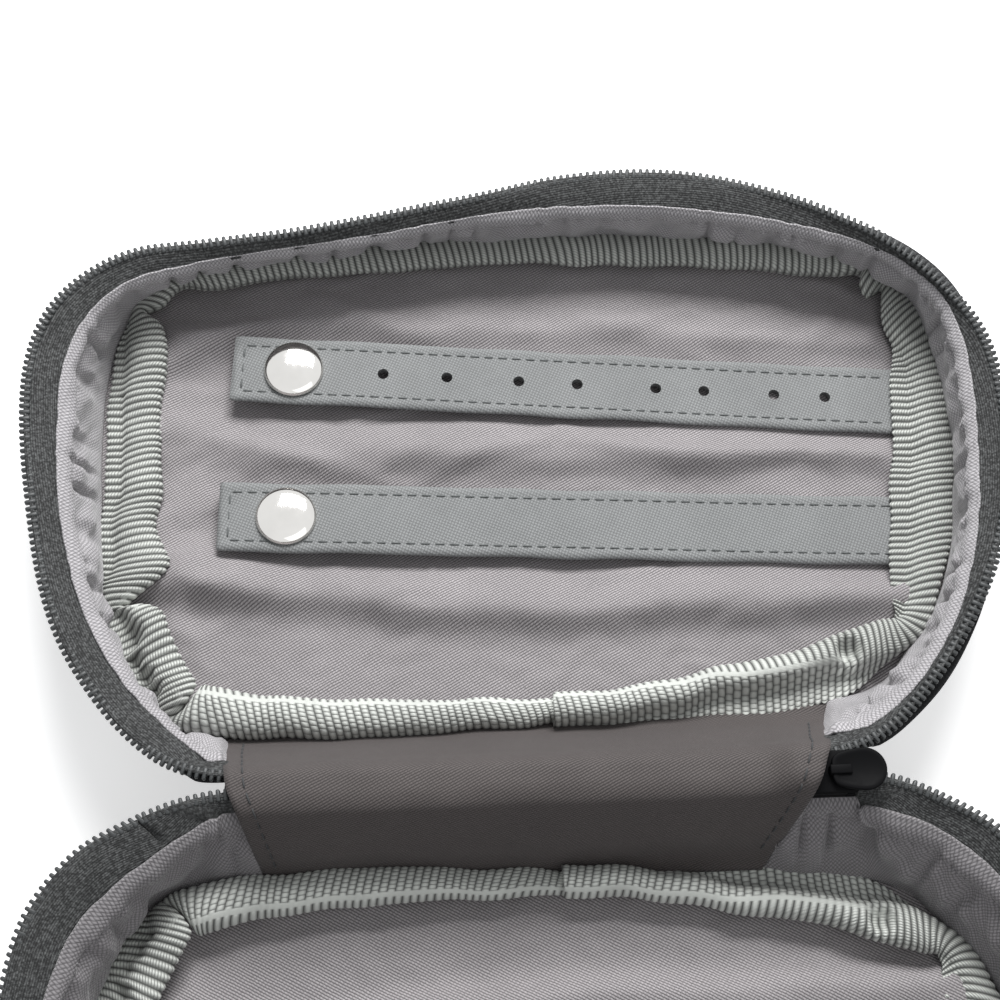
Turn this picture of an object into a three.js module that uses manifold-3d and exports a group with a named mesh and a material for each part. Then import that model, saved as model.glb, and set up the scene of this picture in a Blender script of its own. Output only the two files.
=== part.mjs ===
// Travel jewelry organizer: a zip-round clamshell case lying open and flat.
// The fold line runs along X at y = 0. The upper half, with the two straps, lies at +Y and the
// lower half at -Y. Both stand on z = 0 with the open side up. All sizes are in millimetres.
import * as THREE from 'three';
import { mergeVertices } from 'three/addons/utils/BufferGeometryUtils.js';
import Module from 'manifold-3d';

const wasm = await Module();
wasm.setup();

// Outline of the zip teeth in plan: side arcs of one circle, a bowed far edge and round corners
const rimSideRadius = 102;
const rimSideCentreY = 78;
const rimFarY = 130.3;
const rimFarRadius = 250;
const rimFarCorner = 38;
const rimNearCorner = 4;
const halfDepth = 26;

// Outline of the floor seam in plan
const floorSideRadius = 94;
const floorSideCentreY = 72;
const floorFarY = 127.5;
const floorNearY = 14.5;
const floorFarCorner = 22;
const floorNearCorner = 18;

// Layers of the floor, from the table up
const outerPanelThickness = 1.2;
const boardThickness = 0.8;
const foamThickness = 2;
const liningThickness = 0.6;
const outerPanelChamfer = 0.7;
const boardInset = 0.8;

// Side wall, wall lining and spine
const wallThickness = 2.4;
const wallTopInset = 5.5;
const wallTopDrop = 4.5;
const wallLiningThickness = 0.5;
const skinGap = 0.1;
const spineHalfLength = 60;
const spineTopThickness = 1.3;
const spineTopDrop = 1;
const foldGap = 0.3;
const seatGap = 0.3;

// Lining panel across the hinge, one trapezoid from floor seam to floor seam
const hingePanelWideHalf = 59.8;
const hingePanelFoldHalf = 57.5;
const hingePanelNarrowHalf = 50;
const hingePanelThickness = 0.7;

// Webbing folded over the floor seam, standing as a flange round the floor
const bindingWidth = 12.6;
const bindingRootInset = 1;
const bindingThickness = 1.3;
const bindingRoll = 2.4;
const bindingRise = 2.1;
const bindingLapLength = 9;
const bindingLapStart = 5;

// Zip
const coilRadius = 0.6;
const tapeThickness = 0.8;
const tapeFoot = 1.5;
const notchRadius = 7.3;
const notchStart = 46.5;
const notchEnd = 73.5;

// Straps: sewn at the right, held by a snap at the left
const strapThickness = 1.4;
const earringStrap = {
  name: 'earring',
  length: 138.5,
  width: 15.5,
  tilt: -4.6,
  rootY: 85,
  snapFromEnd: 13.3,
  holes: [9.8, 20.9, 36.2, 46.7, 63.8, 76.5, 92.1, 105.9],
};
const ringStrap = {
  name: 'ring',
  length: 139.5,
  width: 15.5,
  tilt: -2.9,
  rootY: 54.5,
  snapFromEnd: 14.2,
  holes: [],
};
const earringHoleRadius = 1;

// Press snaps
const capRadius = 6.4;
const capHeight = 2.2;
const capShankRadius = 1.2;
const socketRadius = 5.2;
const socketHeight = 1.85;
const studKnobRadius = 1.75;
const studKnobHeight = 1.5;
const studFlangeRadius = 4.6;
const studFlangeThickness = 0.5;
const postDiscRadius = 4.5;
const postDiscThickness = 0.5;
const postShankRadius = 0.8;
const snapClearance = 0.4;
const fitClearance = 0.3;

// Zip slider and pull tab, parked on the joined end of the chain at the right of the fold
const chainWidth = 4.7;
const chainThickness = 1.6;
const chainLength = 17.2;
const chainEndX = 57.2;
const sliderLength = 12.3;
const sliderWidth = 8.3;
const sliderPlate = 1;
const sliderCentreY = -2.25;
const sliderFlange = 0.8;
const sliderPostLength = 2;
const sliderPostWidth = 2.6;
const crownLength = 4.6;
const crownWidth = 2.2;
const crownBar = 0.7;
const tabThickness = 1;
const tabHeadRadius = 4.2;
const tabReach = 9.8;
const tabRail = 1;

// Sizes worked out from the ones above
const radians = Math.PI / 180;
const boardBottom = outerPanelThickness;
const foamBottom = boardBottom + boardThickness;
const liningBottom = foamBottom + foamThickness;
const floorTop = liningBottom + liningThickness;
const wallTop = halfDepth - wallTopDrop;
const spineTop = halfDepth - spineTopDrop;
const spineInnerTopY = foldGap + spineTopThickness;
const spineRun = (floorNearY - spineInnerTopY) / (spineTop - floorTop);
const wallTopNearY = floorNearY - spineRun * (wallTop - floorTop);

const colours = {
  outerNylon: new THREE.MeshStandardMaterial({ color: 0x1f2022, roughness: 0.85, metalness: 0 }),
  board: new THREE.MeshStandardMaterial({ color: 0x8a8274, roughness: 0.9, metalness: 0 }),
  foam: new THREE.MeshStandardMaterial({ color: 0xcfcfca, roughness: 0.95, metalness: 0 }),
  lining: new THREE.MeshStandardMaterial({ color: 0x6c686e, roughness: 0.7, metalness: 0 }),
  webbing: new THREE.MeshStandardMaterial({ color: 0x8f948e, roughness: 0.85, metalness: 0 }),
  strap: new THREE.MeshStandardMaterial({ color: 0x676b6a, roughness: 0.75, metalness: 0 }),
  tape: new THREE.MeshStandardMaterial({ color: 0x2e3030, roughness: 0.85, metalness: 0 }),
  teeth: new THREE.MeshStandardMaterial({ color: 0x3f4343, roughness: 0.45, metalness: 0 }),
  nickel: new THREE.MeshStandardMaterial({ color: 0xd9d6d2, roughness: 0.15, metalness: 1 }),
  blackMetal: new THREE.MeshStandardMaterial({ color: 0x141415, roughness: 0.35, metalness: 0.6 }),
};

// Outlines

const rimOutline = {
  sideRadius: rimSideRadius,
  sideCentreY: rimSideCentreY,
  nearY: 0,
  nearCorner: rimNearCorner,
  farY: rimFarY,
  farRadius: rimFarRadius,
  farCorner: rimFarCorner,
};

const floorOutline = {
  sideRadius: floorSideRadius,
  sideCentreY: floorSideCentreY,
  nearY: floorNearY,
  nearCorner: floorNearCorner,
  farY: floorFarY,
  farRadius: rimFarRadius,
  farCorner: floorFarCorner,
};

// An outline moved inwards by the same distance all round
function inset(outline, distance) {
  return {
    sideRadius: outline.sideRadius - distance,
    sideCentreY: outline.sideCentreY,
    nearY: outline.nearY + distance,
    nearCorner: Math.max(outline.nearCorner - distance, 0.5),
    farY: outline.farY - distance,
    farRadius: outline.farRadius - distance,
    farCorner: Math.max(outline.farCorner - distance, 0.5),
  };
}

// The outline part of the way from one to another
function between(first, second, share) {
  const result = {};
  for (const key of Object.keys(first)) {
    result[key] = THREE.MathUtils.lerp(first[key], second[key], share);
  }
  return result;
}

const wallTopOutline = {
  ...inset(rimOutline, wallTopInset),
  nearY: wallTopNearY,
  nearCorner: rimNearCorner + 1,
};

// The wall leans between the floor seam and its top edge
function wallOutline(z) {
  return between(floorOutline, wallTopOutline, (z - floorTop) / (wallTop - floorTop));
}

// Points on an arc, without its last point
function arcPoints(centreX, centreY, radius, from, to, steps) {
  const points = [];
  for (let i = 0; i < steps; i += 1) {
    const angle = THREE.MathUtils.lerp(from, to, i / steps);
    points.push([centreX + radius * Math.cos(angle), centreY + radius * Math.sin(angle)]);
  }
  return points;
}

// Anticlockwise loop of plan points: near right corner, right side, far right corner, far edge,
// then the same on the left. The straight near edge closes the loop.
function loopPoints(outline) {
  const { sideRadius, sideCentreY, nearY, nearCorner, farY, farRadius, farCorner } = outline;
  const nearCentreY = nearY + nearCorner;
  const nearCentreX = Math.sqrt((sideRadius - nearCorner) ** 2 - (sideCentreY - nearCentreY) ** 2);
  const nearTurn = Math.atan2(nearCentreY - sideCentreY, nearCentreX);
  const farCentreOfArc = farY - farRadius;
  const sideReach = sideRadius - farCorner;
  const farReach = farRadius - farCorner;
  const farCentreY =
    (sideReach ** 2 - farReach ** 2 - sideCentreY ** 2 + farCentreOfArc ** 2) /
    (2 * (farCentreOfArc - sideCentreY));
  const farCentreX = Math.sqrt(sideReach ** 2 - (farCentreY - sideCentreY) ** 2);
  const farTurn = Math.atan2(farCentreY - sideCentreY, farCentreX);
  const crownTurn = Math.atan2(farCentreY - farCentreOfArc, farCentreX);
  const right = [
    ...arcPoints(nearCentreX, nearCentreY, nearCorner, -Math.PI / 2, nearTurn, 5),
    ...arcPoints(0, sideCentreY, sideRadius, nearTurn, farTurn, 7),
    ...arcPoints(farCentreX, farCentreY, farCorner, farTurn, crownTurn, 7),
    ...arcPoints(0, farCentreOfArc, farRadius, crownTurn, Math.PI / 2, 4),
  ];
  const left = right.map(([x, y]) => [-x, y]).reverse();
  return [...right, [0, farY], ...left];
}

function loopAt(outline, z) {
  return loopPoints(outline).map(([x, y]) => [x, y, z]);
}

// Solids

function geometryFrom(positions, indices) {
  const geometry = new THREE.BufferGeometry();
  geometry.setAttribute('position', new THREE.BufferAttribute(new Float32Array(positions.flat()), 3));
  geometry.setIndex(indices);
  return geometry;
}

// Each four-sided face is split along the same diagonal whether the loops rise or fall, so that two
// skins that lie on each other bend alike
function sideTriangles(indices, first, second, count, rising = true) {
  for (let i = 0; i < count; i += 1) {
    const next = (i + 1) % count;
    if (rising) {
      indices.push(first + i, first + next, second + next);
      indices.push(first + i, second + next, second + i);
    } else {
      indices.push(first + i, first + next, second + i);
      indices.push(first + next, second + next, second + i);
    }
  }
}

// A slab through a stack of loops, lowest first, closed below and above
function slab(loops) {
  const count = loops[0].length;
  const positions = loops.flat();
  const indices = [];
  for (let level = 0; level + 1 < loops.length; level += 1) {
    sideTriangles(indices, level * count, (level + 1) * count, count);
  }
  const bottomCentre = positions.length;
  const topCentre = bottomCentre + 1;
  const topStart = (loops.length - 1) * count;
  const middleY = (loops[0][0][1] + loops[0][(count - 1) / 2][1]) / 2;
  positions.push([0, middleY, loops[0][0][2]], [0, middleY, loops[loops.length - 1][0][2]]);
  for (let i = 0; i < count; i += 1) {
    const next = (i + 1) % count;
    indices.push(bottomCentre, next, i);
    indices.push(topCentre, topStart + i, topStart + next);
  }
  return geometryFrom(positions, indices);
}

// A ring whose cross-section has one corner on each loop. The loops go round the section from the
// lower outside corner, up the outside and back down the inside.
function ring(loops) {
  const count = loops[0].length;
  const indices = [];
  for (let level = 0; level < loops.length; level += 1) {
    const following = (level + 1) % loops.length;
    const rising = loops[following][0][2] >= loops[level][0][2];
    sideTriangles(indices, level * count, following * count, count, rising);
  }
  return geometryFrom(loops.flat(), indices);
}

function toSolid(geometry) {
  const bare = geometry.clone();
  bare.deleteAttribute('normal');
  bare.deleteAttribute('uv');
  const merged = mergeVertices(bare, 1e-5);
  return new wasm.Manifold(
    new wasm.Mesh({
      numProp: 3,
      vertProperties: new Float32Array(merged.attributes.position.array),
      triVerts: new Uint32Array(merged.index.array),
    }),
  );
}

function toGeometry(solid) {
  const mesh = solid.getMesh();
  const geometry = new THREE.BufferGeometry();
  geometry.setAttribute('position', new THREE.BufferAttribute(new Float32Array(mesh.vertProperties), 3));
  geometry.setIndex(new THREE.BufferAttribute(new Uint32Array(mesh.triVerts), 1));
  return geometry;
}

function cut(geometry, ...tools) {
  let solid = toSolid(geometry);
  for (const tool of tools) {
    solid = solid.subtract(toSolid(tool));
  }
  return toGeometry(solid);
}

function join(...geometries) {
  let solid = toSolid(geometries[0]);
  for (const geometry of geometries.slice(1)) {
    solid = solid.add(toSolid(geometry));
  }
  return toGeometry(solid);
}

function boxBetween(low, high) {
  const size = high.map((value, axis) => value - low[axis]);
  const middle = high.map((value, axis) => (value + low[axis]) / 2);
  return new THREE.BoxGeometry(...size).translate(...middle);
}

// A solid of revolution about an upright axis, from a profile of [radius, height] corners
function turned(profile, x, y, z, steps = 24) {
  const points = profile.map(([radius, height]) => new THREE.Vector2(radius, height));
  return new THREE.LatheGeometry(points, steps).rotateX(Math.PI / 2).translate(x, y, z);
}

function uprightRod(x, y, bottom, top, radius, steps = 16) {
  const rod = new THREE.CylinderGeometry(radius, radius, top - bottom, steps);
  return rod.rotateX(Math.PI / 2).translate(x, y, (top + bottom) / 2);
}

// A bar along X with a section of [y, z] corners
function barAlongX(section, fromX, toX) {
  const shape = new THREE.Shape(section.map(([y, z]) => new THREE.Vector2(y, z)));
  const bar = new THREE.ExtrudeGeometry(shape, { depth: toX - fromX, bevelEnabled: false });
  return bar.rotateX(Math.PI / 2).rotateZ(Math.PI / 2).translate(fromX, 0, 0);
}

// The same piece on the other side of the fold
function mirrored(geometry) {
  const copy = geometry.index ? geometry.clone() : mergeVertices(geometry.clone());
  copy.scale(1, -1, 1);
  const index = copy.index.array;
  for (let i = 0; i < index.length; i += 3) {
    const second = index[i + 1];
    index[i + 1] = index[i + 2];
    index[i + 2] = second;
  }
  return copy;
}

function piece(name, geometry, material) {
  const mesh = new THREE.Mesh(geometry, material);
  mesh.name = name;
  geometry.computeVertexNormals();
  return mesh;
}

// Cuts that both halves share

const beyondAll = 400;
const beyondFold = boxBetween([-beyondAll, -beyondAll, -beyondAll], [beyondAll, foldGap, beyondAll]);
const spineSlot = boxBetween(
  [-spineHalfLength - seatGap, -beyondAll, -beyondAll],
  [spineHalfLength + seatGap, floorNearY + wallThickness + floorNearCorner / 2, beyondAll],
);
const sliderNotch = new THREE.CylinderGeometry(notchRadius, notchRadius, notchEnd - notchStart, 32)
  .rotateZ(Math.PI / 2)
  .translate((notchStart + notchEnd) / 2, 0, halfDepth);

// Pieces of one half, drawn at +Y

function outerPanel() {
  const edge = inset(floorOutline, -wallThickness);
  return slab([
    loopAt(inset(edge, outerPanelChamfer), 0),
    loopAt(edge, outerPanelChamfer),
    loopAt(edge, outerPanelThickness),
  ]);
}

function floorLayer(bottom, top, edgeInset) {
  const outline = inset(floorOutline, edgeInset);
  return slab([loopAt(outline, bottom), loopAt(outline, top)]);
}

function sideWall() {
  const levels = [floorTop, (floorTop + wallTop) / 2, wallTop];
  const outside = levels.map((z) => loopAt(inset(wallOutline(z), -wallThickness), z));
  const inside = levels.map((z) => loopAt(wallOutline(z), z)).reverse();
  const footOutside = loopAt(inset(floorOutline, -wallThickness), outerPanelThickness);
  const footInside = loopAt(floorOutline, outerPanelThickness);
  const wall = ring([footOutside, ...outside, ...inside, footInside]);
  return cut(wall, spineSlot, beyondFold, sliderNotch);
}

function wallLining() {
  const levels = [floorTop + skinGap, (floorTop + wallTop) / 2, wallTop - skinGap];
  const outside = levels.map((z) => loopAt(inset(wallOutline(z), skinGap), z));
  const inside = levels
    .map((z) => loopAt(inset(wallOutline(z), skinGap + wallLiningThickness), z))
    .reverse();
  return cut(ring([...outside, ...inside]), spineSlot, beyondFold, sliderNotch);
}

// Section of the spine, from its foot at the floor seam up to the fold
function spineWall() {
  const section = [
    [floorNearY - wallThickness, outerPanelThickness],
    [floorNearY, outerPanelThickness],
    [floorNearY, floorTop],
    [spineInnerTopY, spineTop],
    [foldGap, spineTop],
    [foldGap, spineTop - wallThickness],
  ];
  return cut(barAlongX(section, -spineHalfLength, spineHalfLength), sliderNotch);
}

// The hinge lining lies on the spine. In plan it narrows from one half width to another.
function hingeLining(footHalf, foldHalf) {
  const slope = new THREE.Vector2(spineTop - floorTop, floorNearY - spineInnerTopY).normalize();
  const lift = (y, z, distance) => [y + slope.x * distance, z + slope.y * distance];
  const under = skinGap;
  const over = skinGap + hingePanelThickness;
  const foldTop = halfDepth - foldGap + 0.05;
  const section = [
    lift(floorNearY, floorTop + skinGap, under),
    lift(floorNearY, floorTop + skinGap, over),
    [spineInnerTopY + hingePanelThickness, foldTop],
    [foldGap, foldTop],
    [foldGap, spineTop + skinGap],
    [spineInnerTopY + slope.x * under, spineTop + skinGap],
  ];
  const panel = barAlongX(section, -hingePanelWideHalf, hingePanelWideHalf);
  const trims = [-1, 1].map((side) => {
    const outline = new THREE.Shape([
      new THREE.Vector2(side * footHalf, floorNearY + bindingWidth),
      new THREE.Vector2(side * footHalf, floorNearY),
      new THREE.Vector2(side * foldHalf, 0),
      new THREE.Vector2(side * foldHalf, -1),
      new THREE.Vector2(side * 2 * hingePanelWideHalf, -1),
      new THREE.Vector2(side * 2 * hingePanelWideHalf, floorNearY + bindingWidth),
    ]);
    return new THREE.ExtrudeGeometry(outline, { depth: 2 * halfDepth, bevelEnabled: false });
  });
  return cut(panel, ...trims, sliderNotch);
}

// Webbing flange: flat from its sewn edge, then rolled over along the free edge
function floorBinding() {
  const bottom = floorTop + 2 * skinGap;
  const free = bindingRootInset + bindingWidth;
  const corner = (edgeInset, z) => loopAt(inset(floorOutline, edgeInset), z);
  const middle = bindingRootInset + bindingWidth / 2;
  return ring([
    corner(bindingRootInset, bottom),
    corner(bindingRootInset, bottom + bindingThickness),
    corner(middle, bottom + bindingRise / 2 + bindingThickness * 1.2),
    corner(free - bindingRoll * 0.7, bottom + bindingRise + bindingRoll),
    corner(free - bindingRoll * 0.15, bottom + bindingRise + bindingRoll * 0.8),
    corner(free, bottom + bindingRise + bindingRoll * 0.4),
    corner(free - bindingRoll * 0.4, bottom + bindingRise),
    corner(middle, bottom + bindingRise / 2),
  ]);
}

// The end of the webbing laps over its start on the hinge side
function bindingLap() {
  const top = floorTop + 2 * skinGap + bindingRise + bindingRoll;
  const nearSide = floorNearY + bindingRootInset;
  const section = [
    [nearSide + bindingWidth * 0.45, top - bindingRoll],
    [nearSide + bindingWidth - bindingRoll * 0.5, top - bindingRoll],
    [nearSide + bindingWidth - bindingRoll * 0.5, top + bindingThickness * 0.4],
    [nearSide + bindingWidth * 0.75, top + bindingThickness * 0.5],
    [nearSide + bindingWidth * 0.45, top - bindingThickness],
  ];
  return barAlongX(section, bindingLapStart, bindingLapStart + bindingLapLength);
}

function zipTape() {
  const edge = 2 * coilRadius + skinGap;
  const foot = wallTop + skinGap;
  const top = halfDepth - foldGap - coilRadius;
  const corner = (edgeInset, z) => loopAt(inset(rimOutline, edgeInset), z);
  const footInset = wallTopInset + tapeThickness;
  const tape = ring([
    corner(edge, top - tapeThickness / 2),
    corner(edge, top + tapeThickness / 2),
    corner(footInset, foot + tapeThickness * 1.2),
    corner(footInset, foot),
    corner(footInset - tapeFoot, foot),
  ]);
  return cut(tape, spineSlot, beyondFold, sliderNotch);
}

// The row of teeth, drawn as a bead along the edge of the tape
function zipCoil() {
  const middle = halfDepth - foldGap - coilRadius;
  const loops = [];
  for (let corner = 0; corner < 6; corner += 1) {
    const angle = (corner / 6) * 2 * Math.PI;
    const edgeInset = coilRadius - coilRadius * Math.cos(angle);
    loops.push(loopAt(inset(rimOutline, edgeInset), middle + coilRadius * Math.sin(angle)));
  }
  return cut(ring(loops), spineSlot, beyondFold, sliderNotch);
}

// Straps and snaps

const bindingInnerRadius = floorSideRadius - bindingRootInset - bindingWidth;

// Where a strap turns up from the floor: just clear of the webbing that holds its sewn end
function strapRoot(strap) {
  const farthest = Math.abs(strap.rootY - floorSideCentreY) + strap.width / 2;
  const x = Math.sqrt(bindingInnerRadius ** 2 - farthest ** 2) - strapThickness / 2 - fitClearance;
  return new THREE.Vector3(x, strap.rootY, floorTop + fitClearance + strapThickness / 2);
}

// Heights in the snap, from the floor lining up
const studFlangeTop = floorTop + skinGap + studFlangeThickness;
const socketBottom = studFlangeTop + snapClearance;

function snapDistance(strap) {
  return strap.length - strap.snapFromEnd;
}

// The strap rises from its root to the height of the snap
function strapPitch(strap) {
  const underside = socketBottom + socketHeight + skinGap;
  const rootUnderside = floorTop + fitClearance;
  return Math.asin((underside - rootUnderside) / snapDistance(strap));
}

function snapPlace(strap) {
  const root = strapRoot(strap);
  const reach = snapDistance(strap) * Math.cos(strapPitch(strap));
  const direction = strap.tilt * radians;
  return [root.x - reach * Math.cos(direction), root.y - reach * Math.sin(direction)];
}

// A strap lies along -X from its root, with a round root end
function strapBody(strap) {
  const half = strap.width / 2;
  const section = new THREE.Shape();
  const thick = strapThickness / 2;
  section.moveTo(-strap.length, -thick);
  section.lineTo(0, -thick);
  section.absarc(0, 0, thick, -Math.PI / 2, Math.PI / 2, false);
  section.lineTo(-strap.length, thick);
  const blank = new THREE.ExtrudeGeometry(section, {
    depth: strap.width,
    bevelEnabled: false,
    curveSegments: 6,
  });
  blank.rotateX(Math.PI / 2).translate(0, half, 0);
  const punches = strap.holes.map((distance) =>
    uprightRod(-distance, 0, -strapThickness, strapThickness, earringHoleRadius),
  );
  const snapHole = uprightRod(
    -snapDistance(strap),
    0,
    -strapThickness,
    strapThickness,
    capShankRadius + fitClearance,
  );
  return cut(blank, snapHole, ...punches);
}

// Domed cap with the shank that holds it to the socket below the strap
function snapCap(strap) {
  const profile = [
    [0, -strapThickness],
    [capShankRadius, -strapThickness],
    [capShankRadius, 0],
    [capRadius - 0.4, 0],
    [capRadius, 0.3],
    [capRadius - 0.15, 0.6],
  ];
  const steps = 6;
  for (let i = 1; i <= steps; i += 1) {
    const angle = (i / steps) * (Math.PI / 2);
    const radius = (capRadius - 0.6) * Math.cos(angle);
    profile.push([i === steps ? 0 : radius, 0.6 + (capHeight - 0.6) * Math.sin(angle)]);
  }
  return turned(profile, -snapDistance(strap), 0, strapThickness / 2 + skinGap / 2);
}

function snapSocket(strap) {
  const bore = studKnobRadius + fitClearance + 0.15;
  const roof = 0.4;
  const profile = [
    [bore, -socketHeight],
    [socketRadius - 0.5, -socketHeight],
    [socketRadius, -socketHeight * 0.7],
    [socketRadius, -0.3],
    [socketRadius - 0.3, 0],
    [0, 0],
    [0, -roof],
    [bore, -roof],
    [bore, -socketHeight],
  ];
  return turned(profile, -snapDistance(strap), 0, -strapThickness / 2 - skinGap / 2);
}

function snapStud(strap) {
  const [x, y] = snapPlace(strap);
  const bore = postShankRadius + fitClearance;
  const boreDepth = studFlangeThickness + studKnobHeight - 0.5;
  const profile = [
    [bore, 0],
    [studFlangeRadius, 0],
    [studFlangeRadius, studFlangeThickness * 0.6],
    [studKnobRadius + 0.6, studFlangeThickness],
    [studKnobRadius - 0.15, studFlangeThickness],
    [studKnobRadius, studFlangeThickness + studKnobHeight * 0.7],
    [studKnobRadius - 0.4, studFlangeThickness + studKnobHeight],
    [0, studFlangeThickness + studKnobHeight],
    [0, boreDepth],
    [bore, boreDepth],
    [bore, 0],
  ];
  return turned(profile, x, y, floorTop + skinGap, 20);
}

function snapPost(strap) {
  const [x, y] = snapPlace(strap);
  const discBottom = -postDiscThickness - skinGap;
  const shankTop = liningThickness + studFlangeThickness + studKnobHeight - 0.8;
  const profile = [
    [0, discBottom],
    [postDiscRadius, discBottom],
    [postDiscRadius, -skinGap],
    [postShankRadius, -skinGap],
    [postShankRadius, shankTop],
    [0, shankTop],
  ];
  return turned(profile, x, y, liningBottom, 20);
}

function strapGroup(strap) {
  const group = new THREE.Group();
  group.position.copy(strapRoot(strap));
  group.rotation.set(0, strapPitch(strap), strap.tilt * radians, 'ZYX');
  group.add(piece(`${strap.name}_strap`, strapBody(strap), colours.strap));
  group.add(piece(`${strap.name}_snap_cap`, snapCap(strap), colours.nickel));
  group.add(piece(`${strap.name}_snap_socket`, snapSocket(strap), colours.nickel));
  return group;
}

// Zip slider

const chainTop = halfDepth - foldGap / 2 + 0.25;
const chainBottom = chainTop - chainThickness;
const sliderX = chainEndX + fitClearance + sliderPostLength - sliderLength;
const sliderNose = sliderX + sliderLength;
const plateTop = chainTop + fitClearance + sliderPlate;
const crownX = sliderNose - crownLength - 0.8;
const pinX = crownX + crownLength / 2;
const pinZ = plateTop + fitClearance + tabThickness / 2;

function chainEnd() {
  return boxBetween(
    [chainEndX - chainLength, sliderCentreY - chainWidth / 2, chainBottom],
    [chainEndX, sliderCentreY + chainWidth / 2, chainTop],
  );
}

// Room for the chain where it is sewn under the hinge lining
const chainPocket = boxBetween(
  [
    chainEndX - chainLength - fitClearance,
    sliderCentreY - chainWidth / 2 - fitClearance,
    chainBottom - fitClearance,
  ],
  [chainEndX, foldGap, chainTop + fitClearance],
);

function sliderBody() {
  const low = sliderCentreY - sliderWidth / 2;
  const high = sliderCentreY + sliderWidth / 2;
  const roof = chainTop + fitClearance;
  const floor = chainBottom - fitClearance;
  const topPlate = boxBetween([sliderX, low, roof], [sliderNose, high, plateTop]);
  const bottomPlate = boxBetween([sliderX, low, floor - sliderPlate], [sliderNose, high, floor]);
  const post = boxBetween(
    [sliderNose - sliderPostLength, sliderCentreY - sliderPostWidth / 2, floor - sliderPlate / 2],
    [sliderNose, sliderCentreY + sliderPostWidth / 2, plateTop - sliderPlate / 2],
  );
  const flangeEnd = sliderNose - sliderPostLength;
  const flanges = [low, high - sliderFlange].flatMap((nearY) => [
    boxBetween(
      [sliderX, nearY, roof - sliderFlange],
      [flangeEnd, nearY + sliderFlange, roof + sliderPlate / 2],
    ),
    boxBetween(
      [sliderX, nearY, floor - sliderPlate / 2],
      [flangeEnd, nearY + sliderFlange, floor + sliderFlange],
    ),
  ]);
  const crownTop = pinZ + tabThickness / 2 + fitClearance + crownBar;
  const crown = cut(
    boxBetween(
      [crownX, sliderCentreY - crownWidth / 2, plateTop - sliderPlate / 2],
      [crownX + crownLength, sliderCentreY + crownWidth / 2, crownTop],
    ),
    boxBetween(
      [crownX + crownBar, sliderCentreY - crownWidth, plateTop],
      [crownX + crownLength - crownBar, sliderCentreY + crownWidth, crownTop - crownBar],
    ),
  );
  return join(topPlate, bottomPlate, post, ...flanges, crown);
}

// Pull tab: a round head on two rails, with a pin bar through the slider's crown
function pullTab() {
  const railOuter = crownWidth / 2 + 0.5 + tabRail;
  const railInner = railOuter - tabRail;
  const gapEnd = Math.hypot(crownLength / 2, pinZ - plateTop + tabThickness) + fitClearance + 0.2;
  const headX = tabReach - tabHeadRadius;
  const shoulderX = headX - tabHeadRadius * 0.5;
  const neckX = headX - tabHeadRadius * 0.75;
  const outline = new THREE.Shape();
  outline.moveTo(-tabThickness / 2, -railOuter);
  outline.lineTo(neckX, -railOuter);
  outline.quadraticCurveTo(shoulderX, -tabHeadRadius, headX, -tabHeadRadius);
  outline.absarc(headX, 0, tabHeadRadius, -Math.PI / 2, Math.PI / 2, false);
  outline.quadraticCurveTo(shoulderX, tabHeadRadius, neckX, railOuter);
  outline.lineTo(-tabThickness / 2, railOuter);
  const plate = new THREE.ExtrudeGeometry(outline, {
    depth: tabThickness,
    bevelEnabled: false,
    curveSegments: 10,
  });
  plate.translate(0, 0, -tabThickness / 2);
  const windowCut = boxBetween(
    [tabThickness / 2, -railInner, -tabThickness],
    [gapEnd, railInner, tabThickness],
  );
  return cut(plate, windowCut).translate(pinX, sliderCentreY, pinZ);
}

// Assembly

function addHalf(group, name, place) {
  const add = (label, geometry, material) => {
    group.add(piece(`${name}_${label}`, place(geometry), material));
  };
  add('outer_panel', outerPanel(), colours.outerNylon);
  add('stiffener_board', floorLayer(boardBottom, foamBottom, boardInset), colours.board);
  add('side_wall', sideWall(), colours.outerNylon);
  add('wall_lining', wallLining(), colours.lining);
  add('floor_binding', join(floorBinding(), bindingLap()), colours.webbing);
  add('zip_tape', zipTape(), colours.tape);
  add('zip_coil', zipCoil(), colours.teeth);
}

const upperHalf = new THREE.Group();
const snapStraps = [earringStrap, ringStrap];
addHalf(upperHalf, 'upper', (geometry) => geometry);
const postPockets = snapStraps.map((strap) => {
  const [x, y] = snapPlace(strap);
  const depth = postDiscThickness + 2 * skinGap;
  return uprightRod(x, y, liningBottom - depth, liningBottom + 1, postDiscRadius + fitClearance, 20);
});
const shankHoles = snapStraps.map((strap) => {
  const [x, y] = snapPlace(strap);
  return uprightRod(x, y, foamBottom, floorTop + 1, postShankRadius + fitClearance);
});
const upperFoam = cut(floorLayer(foamBottom, liningBottom, boardInset), ...postPockets);
const upperFloor = cut(floorLayer(liningBottom, floorTop, skinGap), ...shankHoles);
upperHalf.add(piece('upper_foam_pad', upperFoam, colours.foam));
upperHalf.add(piece('upper_floor_lining', upperFloor, colours.lining));
upperHalf.add(piece('upper_spine_wall', spineWall(), colours.outerNylon));
const upperHinge = hingeLining(hingePanelWideHalf, hingePanelFoldHalf);
upperHalf.add(piece('upper_hinge_lining', upperHinge, colours.lining));
for (const strap of snapStraps) {
  upperHalf.add(strapGroup(strap));
  upperHalf.add(piece(`${strap.name}_snap_stud`, snapStud(strap), colours.nickel));
  upperHalf.add(piece(`${strap.name}_snap_post`, snapPost(strap), colours.nickel));
}

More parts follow.
